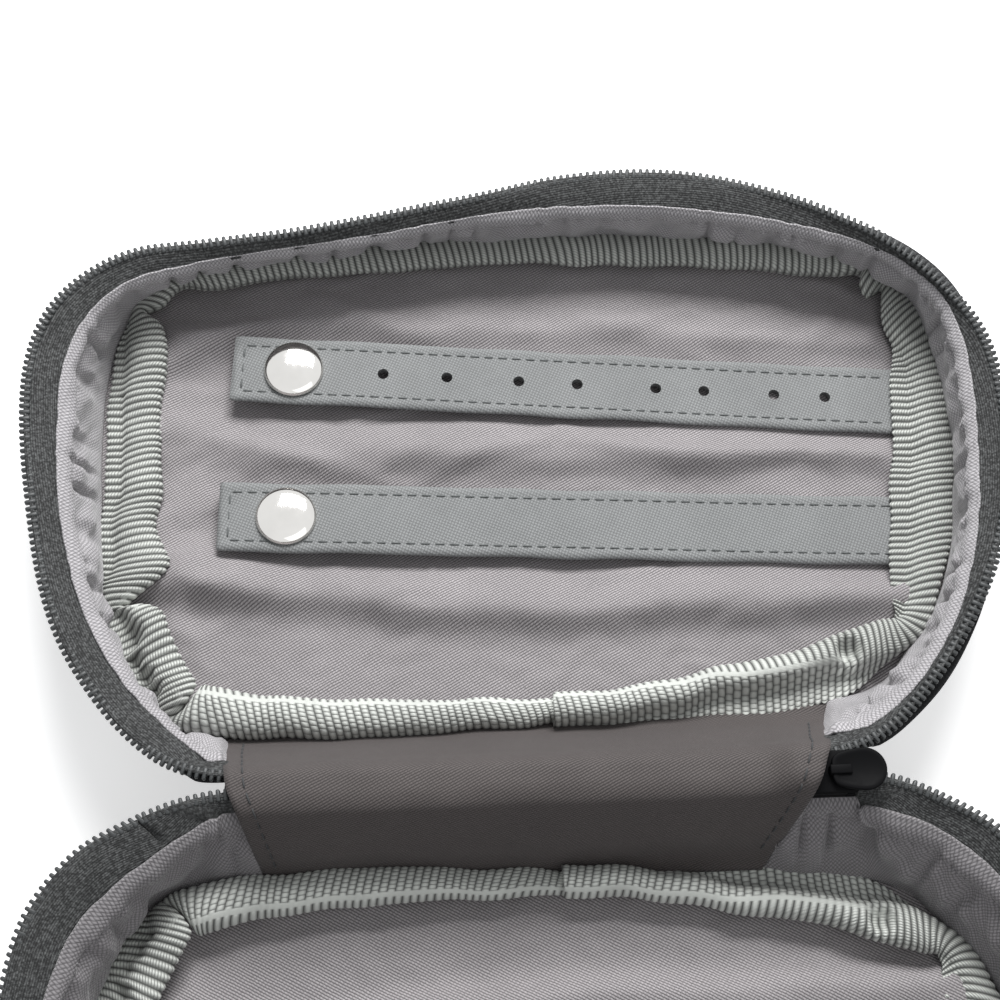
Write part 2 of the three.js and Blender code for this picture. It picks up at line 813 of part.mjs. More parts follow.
const lowerHalf = new THREE.Group();
addHalf(lowerHalf, 'lower', mirrored);
const lowerFoam = floorLayer(foamBottom, liningBottom, boardInset);
const lowerFloor = floorLayer(liningBottom, floorTop, skinGap);
lowerHalf.add(piece('lower_foam_pad', mirrored(lowerFoam), colours.foam));
lowerHalf.add(piece('lower_floor_lining', mirrored(lowerFloor), colours.lining));
const lowerSpine = cut(mirrored(spineWall()), chainPocket);
const wholeHinge = mirrored(hingeLining(hingePanelNarrowHalf, hingePanelFoldHalf));
const lowerHinge = cut(wholeHinge, chainPocket);
lowerHalf.add(piece('lower_spine_wall', lowerSpine, colours.outerNylon));
lowerHalf.add(piece('lower_hinge_lining', lowerHinge, colours.lining));
lowerHalf.add(piece('zip_chain_end', chainEnd(), colours.teeth));

const slider = new THREE.Group();
slider.add(piece('zip_slider', sliderBody(), colours.blackMetal));
slider.add(piece('zip_pull_tab', pullTab(), colours.blackMetal));

const organizer = new THREE.Group();
organizer.add(upperHalf, lowerHalf, slider);

export default organizer;
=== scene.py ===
import math

import bpy
import numpy as np
from mathutils import Matrix, Vector


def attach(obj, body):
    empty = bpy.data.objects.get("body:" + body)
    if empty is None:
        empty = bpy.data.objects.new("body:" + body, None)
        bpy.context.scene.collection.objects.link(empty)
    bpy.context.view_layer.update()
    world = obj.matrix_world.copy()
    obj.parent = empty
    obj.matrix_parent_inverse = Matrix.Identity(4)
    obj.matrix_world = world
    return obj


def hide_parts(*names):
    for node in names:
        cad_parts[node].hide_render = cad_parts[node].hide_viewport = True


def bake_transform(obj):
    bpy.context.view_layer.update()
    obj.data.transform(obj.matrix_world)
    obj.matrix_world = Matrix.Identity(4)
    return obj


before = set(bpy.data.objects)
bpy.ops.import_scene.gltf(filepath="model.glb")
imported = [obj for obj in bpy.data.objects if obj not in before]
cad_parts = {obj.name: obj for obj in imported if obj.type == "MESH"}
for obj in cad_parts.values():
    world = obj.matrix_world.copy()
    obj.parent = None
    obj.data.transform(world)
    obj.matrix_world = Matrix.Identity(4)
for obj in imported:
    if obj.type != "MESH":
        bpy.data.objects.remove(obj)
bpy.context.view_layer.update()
mm = 0.001

# Outlines in plan, in millimetres: side arcs of one circle, a bowed far edge and round corners
rimOutline = dict(
    sideRadius=102, sideCentreY=78, nearY=0, nearCorner=4, farY=130.3, farRadius=250, farCorner=38
)
floorOutline = dict(
    sideRadius=94, sideCentreY=72, nearY=14.5, nearCorner=18, farY=127.5, farRadius=250, farCorner=22
)
wallTopOutline = dict(
    sideRadius=96.5, sideCentreY=78, nearY=3.9, nearCorner=5, farY=124.8, farRadius=244.5, farCorner=32.5
)
turnMarks = [0, 0.12, 0.17, 0.32, 0.39, 0.5]  # where each stretch of an outline starts and ends
floorTop = 4.6
wallTop = 21.5
fineSteps = 6000  # samples that measure the way round
evenSteps = 2400  # evenly spaced samples that a band is laid along
sideSteps = 400  # samples along one side of the floor


def inset(outline, distance):
    result = dict(outline)
    for key in ("sideRadius", "farY", "farRadius"):
        result[key] = outline[key] - distance
    result["nearY"] = outline["nearY"] + distance
    for key in ("nearCorner", "farCorner"):
        result[key] = max(outline[key] - distance, 0.5)
    return result


def outlineAt(outline, around):
    # x, y and the outward normal at each share of the way round, from the middle of the hinge side
    around = np.asarray(around, float) % 1.0
    half = np.where(around > 0.5, 1 - around, around)
    o = outline
    nearCentreY = o["nearY"] + o["nearCorner"]
    nearCentreX = math.sqrt((o["sideRadius"] - o["nearCorner"]) ** 2 - (o["sideCentreY"] - nearCentreY) ** 2)
    nearTurn = math.atan2(nearCentreY - o["sideCentreY"], nearCentreX)
    arcCentreY = o["farY"] - o["farRadius"]
    sideReach = o["sideRadius"] - o["farCorner"]
    farReach = o["farRadius"] - o["farCorner"]
    farCentreY = sideReach**2 - farReach**2 - o["sideCentreY"] ** 2 + arcCentreY**2
    farCentreY /= 2 * (arcCentreY - o["sideCentreY"])
    farCentreX = math.sqrt(sideReach**2 - (farCentreY - o["sideCentreY"]) ** 2)
    farTurn = math.atan2(farCentreY - o["sideCentreY"], farCentreX)
    crownTurn = math.atan2(farCentreY - arcCentreY, farCentreX)
    stretches = [
        (nearCentreX, nearCentreY, o["nearCorner"], -math.pi / 2, nearTurn),
        (0, o["sideCentreY"], o["sideRadius"], nearTurn, farTurn),
        (farCentreX, farCentreY, o["farCorner"], farTurn, crownTurn),
        (0, arcCentreY, o["farRadius"], crownTurn, math.pi / 2),
    ]
    x = nearCentreX * half / turnMarks[1]
    y = np.full_like(half, o["nearY"])
    normalX = np.zeros_like(half)
    normalY = np.full_like(half, -1.0)
    for index, (centreX, centreY, radius, start, end) in enumerate(stretches):
        low, high = turnMarks[index + 1], turnMarks[index + 2]
        here = half > low
        angle = start + (end - start) * (half - low) / (high - low)
        normalX = np.where(here, np.cos(angle), normalX)
        normalY = np.where(here, np.sin(angle), normalY)
        x = np.where(here, centreX + radius * normalX, x)
        y = np.where(here, centreY + radius * normalY, y)
    side = np.where(around > 0.5, -1.0, 1.0)
    return x * side, y, normalX * side, normalY


def hermite(t):
    # weights of a cubic's first value, first slope, last value and last slope
    return 2 * t**3 - 3 * t**2 + 1, t**3 - 2 * t**2 + t, 3 * t**2 - 2 * t**3, t**3 - t**2


def smoothTable(table, around):
    # a smooth value between the knots of a table of place and value
    places, values = np.array(table, float).T
    slopes = np.gradient(values, places)
    around = np.clip(np.asarray(around, float), places[0], places[-1])
    index = np.clip(np.searchsorted(places, around, side="right") - 1, 0, len(places) - 2)
    width = places[index + 1] - places[index]
    a, b, c, d = hermite((around - places[index]) / width)
    ahead = index + 1
    return a * values[index] + b * width * slopes[index] + c * values[ahead] + d * width * slopes[ahead]


# How far the slack fabric leans out of its plain outline, in millimetres: the rim, the top of the
# wall lining and the floor seam, each as pairs of a share of the way round and a lean
rimLean = [
    (0, 0), (0.112, 0), (0.128, -1.4), (0.148, -2.6), (0.17, -2.2), (0.205, -1.5), (0.27, -0.5),
    (0.328, -2), (0.352, -3), (0.374, -2), (0.394, 0.6), (0.41, 2.8), (0.43, 4.4), (0.45, 4.9),
    (0.472, 3.5), (0.487, 1.8), (0.503, -0.8), (0.535, -4), (0.567, -4.9), (0.592, -3.2), (0.62, 0.5),
    (0.648, 2.4), (0.68, 1.2), (0.715, 0.3), (0.78, 3), (0.82, 1.4), (0.836, -1.2), (0.856, -2.6),
    (0.874, -1.2), (0.888, 0), (1, 0),
]
topLean = [
    (0, -1.8), (0.1, -1.3), (0.112, -0.7), (0.118, -0.9), (0.13, -1.1), (0.15, -1), (0.166, -0.6),
    (0.178, 1.1), (0.19, 2.2), (0.209, 2.7), (0.257, 1), (0.287, -0.4), (0.326, 0), (0.354, 2),
    (0.382, 3.2), (0.408, 4.2), (0.441, 4), (0.472, 3.2), (0.503, 1.4), (0.535, -1), (0.568, -1.2),
    (0.6, 0.5), (0.64, 2.4), (0.674, 0.8), (0.702, 0.6), (0.728, 1.3), (0.764, 2.8), (0.79, 3.2),
    (0.816, 2.2), (0.866, 0.4), (0.9, 0), (1, 0),
]
seamLean = [
    (0, -0.4), (0.063, -1), (0.102, -2.2), (0.12, -3.2), (0.15, -3.8), (0.176, -3.4), (0.192, -1.5),
    (0.219, -0.2), (0.244, -0.3), (0.279, 0.8), (0.308, 2.2), (0.34, 3.4), (0.381, 2.8), (0.418, 2.6),
    (0.457, 1.6), (0.496, 0.8), (0.535, 1), (0.568, 2), (0.606, 3.4), (0.632, 2), (0.691, -1),
    (0.721, -3), (0.754, -3.6), (0.785, -1.4), (0.817, 1.4), (0.852, 1), (0.874, -0.2), (0.913, 0.2),
    (0.987, -0.1), (1, -0.4),
]
# The near half opens wider beside the hinge, at its rim and at the top of its lining
nearFlare = [
    (0, 0), (0.15, 0.4), (0.17, 1.6), (0.186, 4.2), (0.203, 7.2), (0.22, 7.6), (0.245, 5.2), (0.28, 1.5),
    (0.32, 0), (0.5, 0), (0.68, 0), (0.72, 1.5), (0.755, 4.5), (0.78, 6.6), (0.797, 5.5), (0.814, 2),
    (0.83, 0.2), (0.85, 0), (1, 0),
]
nearTopFlare = [
    (0, 0.8), (0.115, 0.5), (0.13, -0.6), (0.15, -2.0), (0.165, -2.2), (0.174, -1.4), (0.186, 0.8),
    (0.203, 3), (0.22, 4.2), (0.245, 3), (0.28, 1), (0.32, 0), (0.5, 0), (0.68, 0), (0.72, 1), (0.755, 3),
    (0.78, 4), (0.797, 2.4), (0.814, 0.6), (0.83, -0.6), (0.85, -0.8), (0.866, 0.2), (0.885, 0.8),
    (1, 0.2),
]
# Where the rim leaves its outline, where it ends, and the point it runs to
leadMarks = [(0.185, 0.1, 53.0, 0.3), (0.815, 0.9, -56.0, 0.3)]


def bell(distance, width, power=2):
    # 1 at distance 0, falling off to 0 on both sides
    return np.exp(-(np.abs(distance / width) ** power))


def easeIn(value, low, high):
    t = np.clip((np.asarray(value, float) - low) / (high - low), 0, 1)
    return t * t * (3 - 2 * t)


def footRoom(around):
    # how much farther out the foot of the outer face stands than the leaning seam of the lining
    return np.maximum(-smoothTable(seamLean, around), 0) + 2.2 * bell(around - 0.615, 0.05, 4)


def wallPoint(around, height, out=0.0, flare=0):
    # a point on the leaning wall: height from 0 at the floor seam to 1 at its top
    fx, fy, fnx, fny = outlineAt(floorOutline, around)
    tx, ty, tnx, tny = outlineAt(wallTopOutline, around)
    foot = smoothTable(seamLean, around) + out
    top = smoothTable(topLean, around) + flare * smoothTable(nearTopFlare, around) + out
    footX, footY = fx + fnx * foot, fy + fny * foot
    topX, topY = tx + tnx * top, ty + tny * top
    x = footX + (topX - footX) * height
    y = footY + (topY - footY) * height
    return x, y, fnx + (tnx - fnx) * height, fny + (tny - fny) * height


def rimPoint(around, insetBy, flare=0):
    # the rim, which leads in a smooth line under the hinge lining at both ends
    around = np.asarray(around, float)

    def plain(where):
        x, y, nx, ny = outlineAt(rimOutline, where)
        lean = smoothTable(rimLean, where) + flare * smoothTable(nearFlare, where)
        return x + nx * lean, y + ny * lean, nx, ny

    x, y, nx, ny = plain(np.clip(around, leadMarks[0][0], leadMarks[1][0]))
    for mark, end, targetX, targetY in leadMarks:
        sense = 1.0 if mark < 0.5 else -1.0
        u = np.clip((around - mark) / (end - mark), 0, 1)
        startX, startY = plain(np.array(mark))[:2]
        beforeX, beforeY = plain(np.array(mark + sense * 0.004))[:2]
        size = math.hypot(startX - beforeX, startY - beforeY)
        reach = math.hypot(targetX - startX, targetY - startY)
        headX, headY = (startX - beforeX) / size * reach, (startY - beforeY) / size * reach
        a, b, c, d = hermite(u)
        leadX = a * startX + b * headX + c * targetX - d * sense * reach
        leadY = a * startY + b * headY + c * targetY
        # the slope of the same cubic
        swing, first, last = 6 * u**2 - 6 * u, 3 * u**2 - 4 * u + 1, 3 * u**2 - 2 * u
        wayX = swing * (startX - targetX) + first * headX - last * sense * reach
        wayY = swing * (startY - targetY) + first * headY
        length = np.maximum(np.hypot(wayX, wayY), 1e-9)
        here = u > 0
        x, y = np.where(here, leadX, x), np.where(here, leadY, y)
        nx, ny = np.where(here, -wayY / length * sense, nx), np.where(here, wayX / length * sense, ny)
    return x - nx * insetBy, y - ny * insetBy, nx, ny


def runAlong(places):
    # the way along a line of points, from 0 at the first
    return np.concatenate([[0], np.cumsum(np.linalg.norm(np.diff(places, axis=0), axis=1))])


def evenPlaces(pointOf, start, end, count=evenSteps):
    # shares of the way round that are evenly spaced in real length, and that length
    fine = np.linspace(start, end, fineSteps)
    run = runAlong(np.stack(pointOf(fine)[:2], axis=1))
    return np.interp(np.linspace(0, run[-1], count), run, fine), run[-1]


def ripple(a, b, size, seed, waves=9):
    # soft noise from -1 to 1 whose bumps are about size across
    chance = np.random.RandomState(seed)
    total = np.zeros(np.broadcast(a, b).shape)
    for _ in range(waves):
        angle = chance.uniform(0, 2 * math.pi)
        rate = 2 * math.pi / (size * chance.uniform(0.7, 1.6))
        start = chance.uniform(0, 2 * math.pi)
        total = total + np.sin((a * math.cos(angle) + b * math.sin(angle)) * rate + start)
    return total / math.sqrt(waves)


def edgeShare(s, t):
    # 0 along the four sides of a sheet and 1 in its middle
    return np.minimum(np.minimum(s, 1 - s), np.minimum(t, 1 - t)) * 2


# Mesh helpers


def setMode(mode):
    bpy.ops.object.mode_set(mode=mode)


def selectMesh(action="SELECT"):
    bpy.ops.mesh.select_all(action=action)


def editMesh():
    setMode("EDIT")
    selectMesh()


def smoothBelow(degrees):
    bpy.ops.object.shade_smooth_by_angle(angle=math.radians(degrees))


def deselectAll():
    if bpy.context.object and bpy.context.object.mode != "OBJECT":
        setMode("OBJECT")
    bpy.ops.object.select_all(action="DESELECT")


def activate(piece):
    deselectAll()
    piece.hide_set(False)
    piece.select_set(True)
    bpy.context.view_layer.objects.active = piece


def remove(piece):
    bpy.data.objects.remove(piece)


def nameIt(name):
    piece = bpy.context.object
    piece.name = name
    piece.data.name = name
    return piece


def modify(piece, kind, **values):
    modifier = piece.modifiers.new(kind.lower(), kind)
    for key, value in values.items():
        setattr(modifier, key, value)


def applyAll(piece):
    activate(piece)
    for modifier in list(piece.modifiers):
        bpy.ops.object.modifier_apply(modifier=modifier.name)


def settle(piece):
    # puts the piece's place in its mesh and leaves its object at the origin
    activate(piece)
    bpy.ops.object.transform_apply(location=True, rotation=True, scale=True)


def points(piece):
    found = np.empty(len(piece.data.vertices) * 3)
    piece.data.vertices.foreach_get("co", found)
    return found.reshape(-1, 3)


def setPoints(piece, places):
    piece.data.vertices.foreach_set("co", np.ascontiguousarray(places, float).ravel())
    piece.data.update()


def setUv(piece, along, across):
    # a UV map in metres, from one pair of values per vertex
    layer = piece.data.uv_layers.active or piece.data.uv_layers.new(name="UVMap")
    corner = np.empty(len(piece.data.loops), int)
    piece.data.loops.foreach_get("vertex_index", corner)
    pairs = np.stack([along[corner], across[corner]], axis=1) * mm
    layer.data.foreach_set("uv", pairs.ravel())


def gridPiece(name, values, place, closed=False, flip=False, offset=-1.0):
    # a grid whose points place() puts, given shares along and across: it returns x, y, z and the way along
    # and across the cloth, in mm. It is closed to a capped tube, or made as thick as the values say
    columns, rows = values["size"]
    deselectAll()
    bpy.ops.mesh.primitive_grid_add(x_subdivisions=columns, y_subdivisions=rows, size=2)
    piece = nameIt(name)
    flat = points(piece)
    s = np.round((flat[:, 0] + 1) / 2 * columns) / columns
    t = np.round((flat[:, 1] + 1) / 2 * rows) / rows
    x, y, z, along, across = place(s, t)
    setUv(piece, along, across)
    setPoints(piece, np.stack([x, y, z], axis=1) * mm)
    editMesh()
    if closed:
        bpy.ops.mesh.remove_doubles(threshold=0.000001)
    if flip:
        bpy.ops.mesh.flip_normals()
    setMode("OBJECT")
    bpy.ops.object.shade_smooth()
    if closed:
        capEnds(piece)
    elif "thickness" in values:
        thicken(piece, values["thickness"], offset)
    return piece


def thicken(piece, thickness, offset=-1.0):
    modify(piece, "SOLIDIFY", thickness=thickness * mm, offset=offset, use_even_offset=False)
    applyAll(piece)


def band(pointOf, margin, steps=evenSteps):
    # a function that gives the share of the way round and the length run, at shares along a band
    even, length = evenPlaces(pointOf, margin, 1 - margin, steps)
    return lambda s: (np.interp(s, np.linspace(0, 1, steps), even), s * length), length


def copyOf(piece, name):
    activate(piece)
    bpy.ops.object.duplicate(linked=False)
    return nameIt(name)


def mirror(piece):
    # turns the piece over to the other side of the fold
    activate(piece)
    places = points(piece)
    places[:, 1] *= -1
    setPoints(piece, places)
    editMesh()
    bpy.ops.mesh.flip_normals()
    setMode("OBJECT")
    return piece


def capEnds(piece):
    activate(piece)
    setMode("EDIT")
    bpy.ops.mesh.select_mode(type="EDGE")
    selectMesh("DESELECT")
    bpy.ops.mesh.select_non_manifold(extend=False, use_boundary=True)
    bpy.ops.mesh.edge_face_add()
    selectMesh("DESELECT")
    bpy.ops.mesh.select_mode(type="VERT")
    setMode("OBJECT")


def joinPieces(pieces, name):
    deselectAll()
    for piece in pieces:
        piece.select_set(True)
    bpy.context.view_layer.objects.active = pieces[0]
    bpy.ops.object.join()
    return nameIt(name)


def copiesOf(model, name, matrices):
    # one mesh of many copies of a small model, each turned and placed by its matrix
    base = points(model)
    faces = [list(face.vertices) for face in model.data.polygons]
    allPoints = []
    allFaces = []
    for number, matrix in enumerate(matrices):
        rows = np.array(matrix)
        allPoints.append(base @ rows[:3, :3].T + rows[:3, 3])
        allFaces.extend([[index + number * len(base) for index in face] for face in faces])
    mesh = bpy.data.meshes.new(name)
    mesh.from_pydata(np.concatenate(allPoints).tolist(), [], allFaces)
    mesh.update()
    piece = bpy.data.objects.new(name, mesh)
    bpy.context.scene.collection.objects.link(piece)
    activate(piece)
    bpy.ops.object.shade_smooth()
    return piece


def frameMatrix(place, along, up):
    # a matrix whose X runs along and whose Z points up, at a place in mm
    along = Vector(along).normalized()
    up = Vector(up)
    up = (up - along * up.dot(along)).normalized()
    matrix = Matrix((along, up.cross(along), up)).transposed().to_4x4()
    matrix.translation = Vector(place) * mm
    return matrix


def finishPiece(piece, material, body=None, nodes=(), blendTo=None):
    piece.data.materials.clear()
    piece.data.materials.append(material)
    if nodes:
        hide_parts(*nodes)
    if blendTo:
        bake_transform(piece)
    else:
        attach(piece, body)


def dressNode(name, material):
    # a CAD piece that is shown as it is
    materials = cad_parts[name].data.materials
    materials.clear()
    materials.append(material)


# for pieces across the fold: the near half, the far one and points on both sides of the fold line;
# finishPiece only bakes the place of such a piece
overFold = ("lower_half", "upper_half", (0, -3 * mm, 0.026), (0, 3 * mm, 0.026))


# Materials


class Wires:
    # short ways to place and link nodes in one tree

    def __init__(self, tree):
        self.tree = tree

    def add(self, kind, *given, **values):
        # a node with its settings, and its first inputs in order
        node = self.tree.nodes.new(kind)
        for key, value in values.items():
            setattr(node, key, value)
        self.feedAll(node, dict(enumerate(given)))
        return node

    def feed(self, socket, value):
        if isinstance(value, (int, float, tuple)):
            socket.default_value = value
        else:
            self.tree.links.new(value, socket)

    def feedAll(self, node, values):
        for key, value in values.items():
            self.feed(node.inputs[key], value)

    def math(self, operation, first, second=0.0):
        return self.add("ShaderNodeMath", first, second, operation=operation).outputs[0]

    def times(self, first, second):
        return self.math("MULTIPLY", first, second)

    def plus(self, first, second):
        return self.math("ADD", first, second)

    def wave(self, value):
        # 0 at each whole number and 1 halfway between
        return self.math("ABSOLUTE", self.math("SINE", self.times(value, math.pi)))

    def mix(self, share, first, second):
        node = self.add("ShaderNodeMix", data_type="FLOAT")
        self.feedAll(node, {0: share, 2: first, 3: second})
        return node.outputs[0]

    def stretch(self, value, low, high, toLow, toHigh):
        return self.add("ShaderNodeMapRange", value, low, high, toLow, toHigh).outputs[0]

    def noise(self, vector, scale, detail=3.0, roughness=0.55):
        node = self.add("ShaderNodeTexNoise")
        given = {"Vector": vector, "Scale": scale, "Detail": detail, "Roughness": roughness}
        self.feedAll(node, given)
        return node.outputs["Fac"]

    def bump(self, height, distance, strength=1.0):
        node = self.add("ShaderNodeBump")
        self.feedAll(node, {"Height": height, "Distance": distance, "Strength": strength})
        return node.outputs[0]

    def parts(self, vector):
        return self.add("ShaderNodeSeparateXYZ", vector).outputs

    def tint(self, tone, colour):
        # a colour made lighter or darker by one value
        shades = [self.times(tone, share) for share in colour]
        return self.add("ShaderNodeCombineXYZ", *shades).outputs[0]

    def use(self, group, **values):
        node = self.add("ShaderNodeGroup", node_tree=group)
        self.feedAll(node, values)
        return node.outputs[0]


def makeGroup(name, **inputs):
    # a node group that takes a vector and the numbers named, and gives one value
    group = bpy.data.node_groups.new(name, "ShaderNodeTree")
    group.interface.new_socket("Vector", in_out="INPUT", socket_type="NodeSocketVector")
    for label, value in inputs.items():
        socket = group.interface.new_socket(label, in_out="INPUT", socket_type="NodeSocketFloat")
        socket.default_value = value
    group.interface.new_socket("Value", in_out="OUTPUT", socket_type="NodeSocketFloat")
    w = Wires(group)
    return group, w, w.add("NodeGroupInput").outputs, w.add("NodeGroupOutput").inputs[0]


def makeWeaveGroup():
    # threads that cross over and under each other, as a height from 0 to 1
    group, w, given, result = makeGroup("wovenThreads", Threads=2500.0)
    parts = w.parts(given["Vector"])
    u, v = (w.times(parts[axis], given["Threads"]) for axis in range(2))
    waveU, waveV = w.wave(u), w.wave(v)
    place = w.math("FLOORED_MODULO", w.plus(w.math("FLOOR", u), w.math("FLOOR", v)), 2.0)
    first = w.times(waveU, w.plus(w.times(waveV, 0.45), 0.55))
    second = w.times(waveV, w.plus(w.times(waveU, 0.45), 0.45))
    w.feed(result, w.mix(w.math("LESS_THAN", place, 1.0), second, first))
    return group


def makeTwillGroup():
    # slanting lines of short floats: pitch and slope of the lines, and length of a float along them
    group, w, given, result = makeGroup("twillLines", Lines=1700.0, Slope=0.5, Floats=1500.0)
    vector = given["Vector"]
    parts = w.parts(vector)
    lean = w.math("SUBTRACT", parts[1], w.times(parts[0], given["Slope"]))
    wobble = w.times(w.noise(vector, 380.0, 2.0), 0.5)
    line = w.plus(w.times(lean, given["Lines"]), wobble)
    step = w.plus(w.times(parts[0], given["Floats"]), w.times(w.math("FLOOR", line), 0.5))
    ridge = w.math("POWER", w.wave(line), 0.8)
    floats = w.math("POWER", w.wave(step), 0.6)
    grain = w.stretch(w.noise(vector, 2400.0, 2.0), 0.3, 0.7, 0.8, 1.15)
    body = w.times(ridge, w.plus(w.times(floats, 0.45), 0.55))
    w.feed(result, w.times(body, grain))
    return group


def makeWearGroup():
    # cloudy shading at two sizes, as handled fabric has
    group, w, given, result = makeGroup("fabricClouds", Size=60.0, Amount=0.2)
    large = w.noise(given["Vector"], given["Size"], 3.0)
    small = w.noise(given["Vector"], w.times(given["Size"], 9.0), 4.0)
    both = w.plus(w.times(large, 0.65), w.times(small, 0.35))
    low, high = w.math("SUBTRACT", 1.0, given["Amount"]), w.plus(1.0, given["Amount"])
    w.feed(result, w.stretch(both, 0.3, 0.7, low, high))
    return group


weaveGroup = makeWeaveGroup()
twillGroup = makeTwillGroup()
wearGroup = makeWearGroup()


def newMaterial(name):
    # the material, its wires, its shader, and places on the piece by UV map and in the object
    material = bpy.data.materials.new(name)
    material.use_nodes = True
    w = Wires(material.node_tree)
    places = w.add("ShaderNodeTexCoord").outputs
    return material, w, material.node_tree.nodes["Principled BSDF"], places["UV"], places["Object"]


def surface(w, shader, colour, roughness, normal, sheen=0.0, sheenRoughness=0.4, specular=0.5, metallic=0.0):
    w.feedAll(shader, {"Base Color": colour, "Roughness": roughness, "Normal": normal})
    w.feedAll(shader, {"Sheen Weight": sheen, "Sheen Roughness": sheenRoughness})
    w.feedAll(shader, {"Specular IOR Level": specular, "Metallic": metallic})


def fabric(
    name, colour, threads, turned=0.0, sheen=0.1, roughness=0.6, clouds=0.1, depth=0.0001, contrast=0.55
):
    # woven cloth of so many threads to the metre
    material, w, shader, uv, place = newMaterial(name)
    if turned:
        mapping = w.add("ShaderNodeMapping")
        w.feedAll(mapping, {"Vector": uv, "Rotation": (0, 0, math.radians(turned))})
        uv = mapping.outputs[0]
    weave = w.use(weaveGroup, Vector=uv, Threads=float(threads))
    shade = w.stretch(weave, 0.0, 1.0, 1.0 - contrast, 1.0 + contrast * 0.55)
    total = w.times(shade, w.use(wearGroup, Vector=place, Amount=clouds))
    rough = w.stretch(weave, 0.0, 1.0, min(roughness + 0.2, 1.0), roughness)
    surface(w, shader, w.tint(total, colour), rough, w.bump(weave, depth), sheen, specular=0.35)
    return material


def twillFabric(name, colour, slope=0.5, lines=1700.0, contrast=0.55, sheen=0.25, roughness=0.6, glintFlecks=0.0):
    # polyester lining whose weave reads as fine slanting lines
    material, w, shader, uv, place = newMaterial(name)
    twill = w.use(twillGroup, Vector=uv, Lines=lines, Slope=slope)
    shade = w.stretch(twill, 0.0, 1.0, 1.0 - contrast, 1.0 + contrast * 0.75)
    total = w.times(shade, w.use(wearGroup, Vector=place, Amount=0.08))
    # light flecks where threads catch the light: painted glints
    if glintFlecks:
        total = w.times(total, w.stretch(w.noise(place, 1700.0, 2.0), 0.42, 0.64, 0.55, 1.0 + glintFlecks))
    rough = w.stretch(twill, 0.0, 1.0, 0.85, roughness)
    surface(w, shader, w.tint(total, colour), rough, w.bump(twill, 0.00008), sheen, 0.35, 0.4)
    return material


def webbingMaterial(ribPitch=0.00155, fineBeads=0.00062, coarseBeads=0.00105):
    # grosgrain: fine slanted beads along each rib, and coarse staggered ones where the attribute coarse is 1
    material, w, shader, uv, place = newMaterial("grosgrain")
    across = w.parts(uv)[1]
    coarse = w.add("ShaderNodeAttribute", attribute_name="coarse").outputs["Fac"]
    ribs = w.times(w.parts(uv)[0], 1 / ribPitch)
    jitter = w.times(w.noise(place, 500.0, 2.0), 0.45)
    fineRows = w.plus(w.times(across, 1 / fineBeads), w.times(w.math("FRACT", ribs), 0.9))
    shift = w.times(w.math("FLOORED_MODULO", w.math("FLOOR", ribs), 2.0), 0.5)
    coarseRows = w.plus(w.plus(w.times(across, 1 / coarseBeads), shift), w.times(jitter, 0.4))
    wave = w.wave(ribs)
    fineBead = w.math("POWER", w.wave(w.plus(fineRows, jitter)), 0.6)
    fine = w.times(w.math("POWER", wave, 1.3), w.plus(w.times(fineBead, 0.75), 0.25))
    beads = w.math("POWER", w.times(wave, w.math("POWER", w.wave(coarseRows), 0.5)), 0.7)
    # along the free edge the ribs show as a comb below a smooth ridge
    comb = w.stretch(across, 0.0078, 0.0081, 0.0, 1.0)
    ridge = w.math("SUBTRACT", w.stretch(across, 0.0066, 0.0070, 0.0, 1.0), comb)
    beads = w.mix(comb, w.mix(ridge, beads, 0.8), wave)
    height = w.mix(coarse, fine, beads)
    wear = w.use(wearGroup, Vector=place, Size=45.0, Amount=0.1)
    # the colour follows the height: near black in the gaps between ribs and beads and light on their crests,
    # which is painted shade in the gaps
    total = w.times(w.stretch(height, 0.0, 0.85, 0.14, 1.25), wear)
    rough = w.stretch(height, 0.0, 1.0, 0.9, 0.55)
    tone = w.tint(total, (0.50, 0.515, 0.486))
    surface(w, shader, tone, rough, w.bump(height, 0.00025), 0.12, specular=0.35)
    return material


def threadMaterial(name, colour):
    # twisted sewing thread
    material, w, shader, _, place = newMaterial(name)
    grain = w.noise(place, 2600.0, 2.0)
    tone = w.tint(w.stretch(grain, 0.3, 0.7, 0.7, 1.25), colour)
    rough = w.stretch(grain, 0.0, 1.0, 0.5, 0.8)
    surface(w, shader, tone, rough, w.bump(grain, 0.00005, 0.8), 0.1, sheenRoughness=0.5)
    return material


def metalMaterial(name, colour, roughness, scratch, metallic=0.0, specular=0.5):
    # plated or enamelled metal with faint rub marks
    material, w, shader, _, place = newMaterial(name)
    rub = w.noise(place, 700.0, 5.0, 0.7)
    tone = w.tint(w.stretch(w.noise(place, 120.0), 0.3, 0.7, 0.94, 1.04), colour)
    rough = w.stretch(rub, 0.35, 0.75, roughness, roughness + scratch)
    normal = w.bump(rub, 0.00001, 0.25)
    surface(w, shader, tone, rough, normal, specular=specular, metallic=metallic)
    return material


def polymerMaterial(name, colour, roughness, grainSize=1500.0):
    material, w, shader, _, place = newMaterial(name)
    grain = w.noise(place, grainSize)
    tone = w.tint(w.stretch(grain, 0.3, 0.7, 0.85, 1.15), colour)
    rough = w.stretch(grain, 0.3, 0.7, roughness - 0.08, roughness + 0.1)
    surface(w, shader, tone, rough, w.bump(grain, 0.00003, 0.5))
    return material


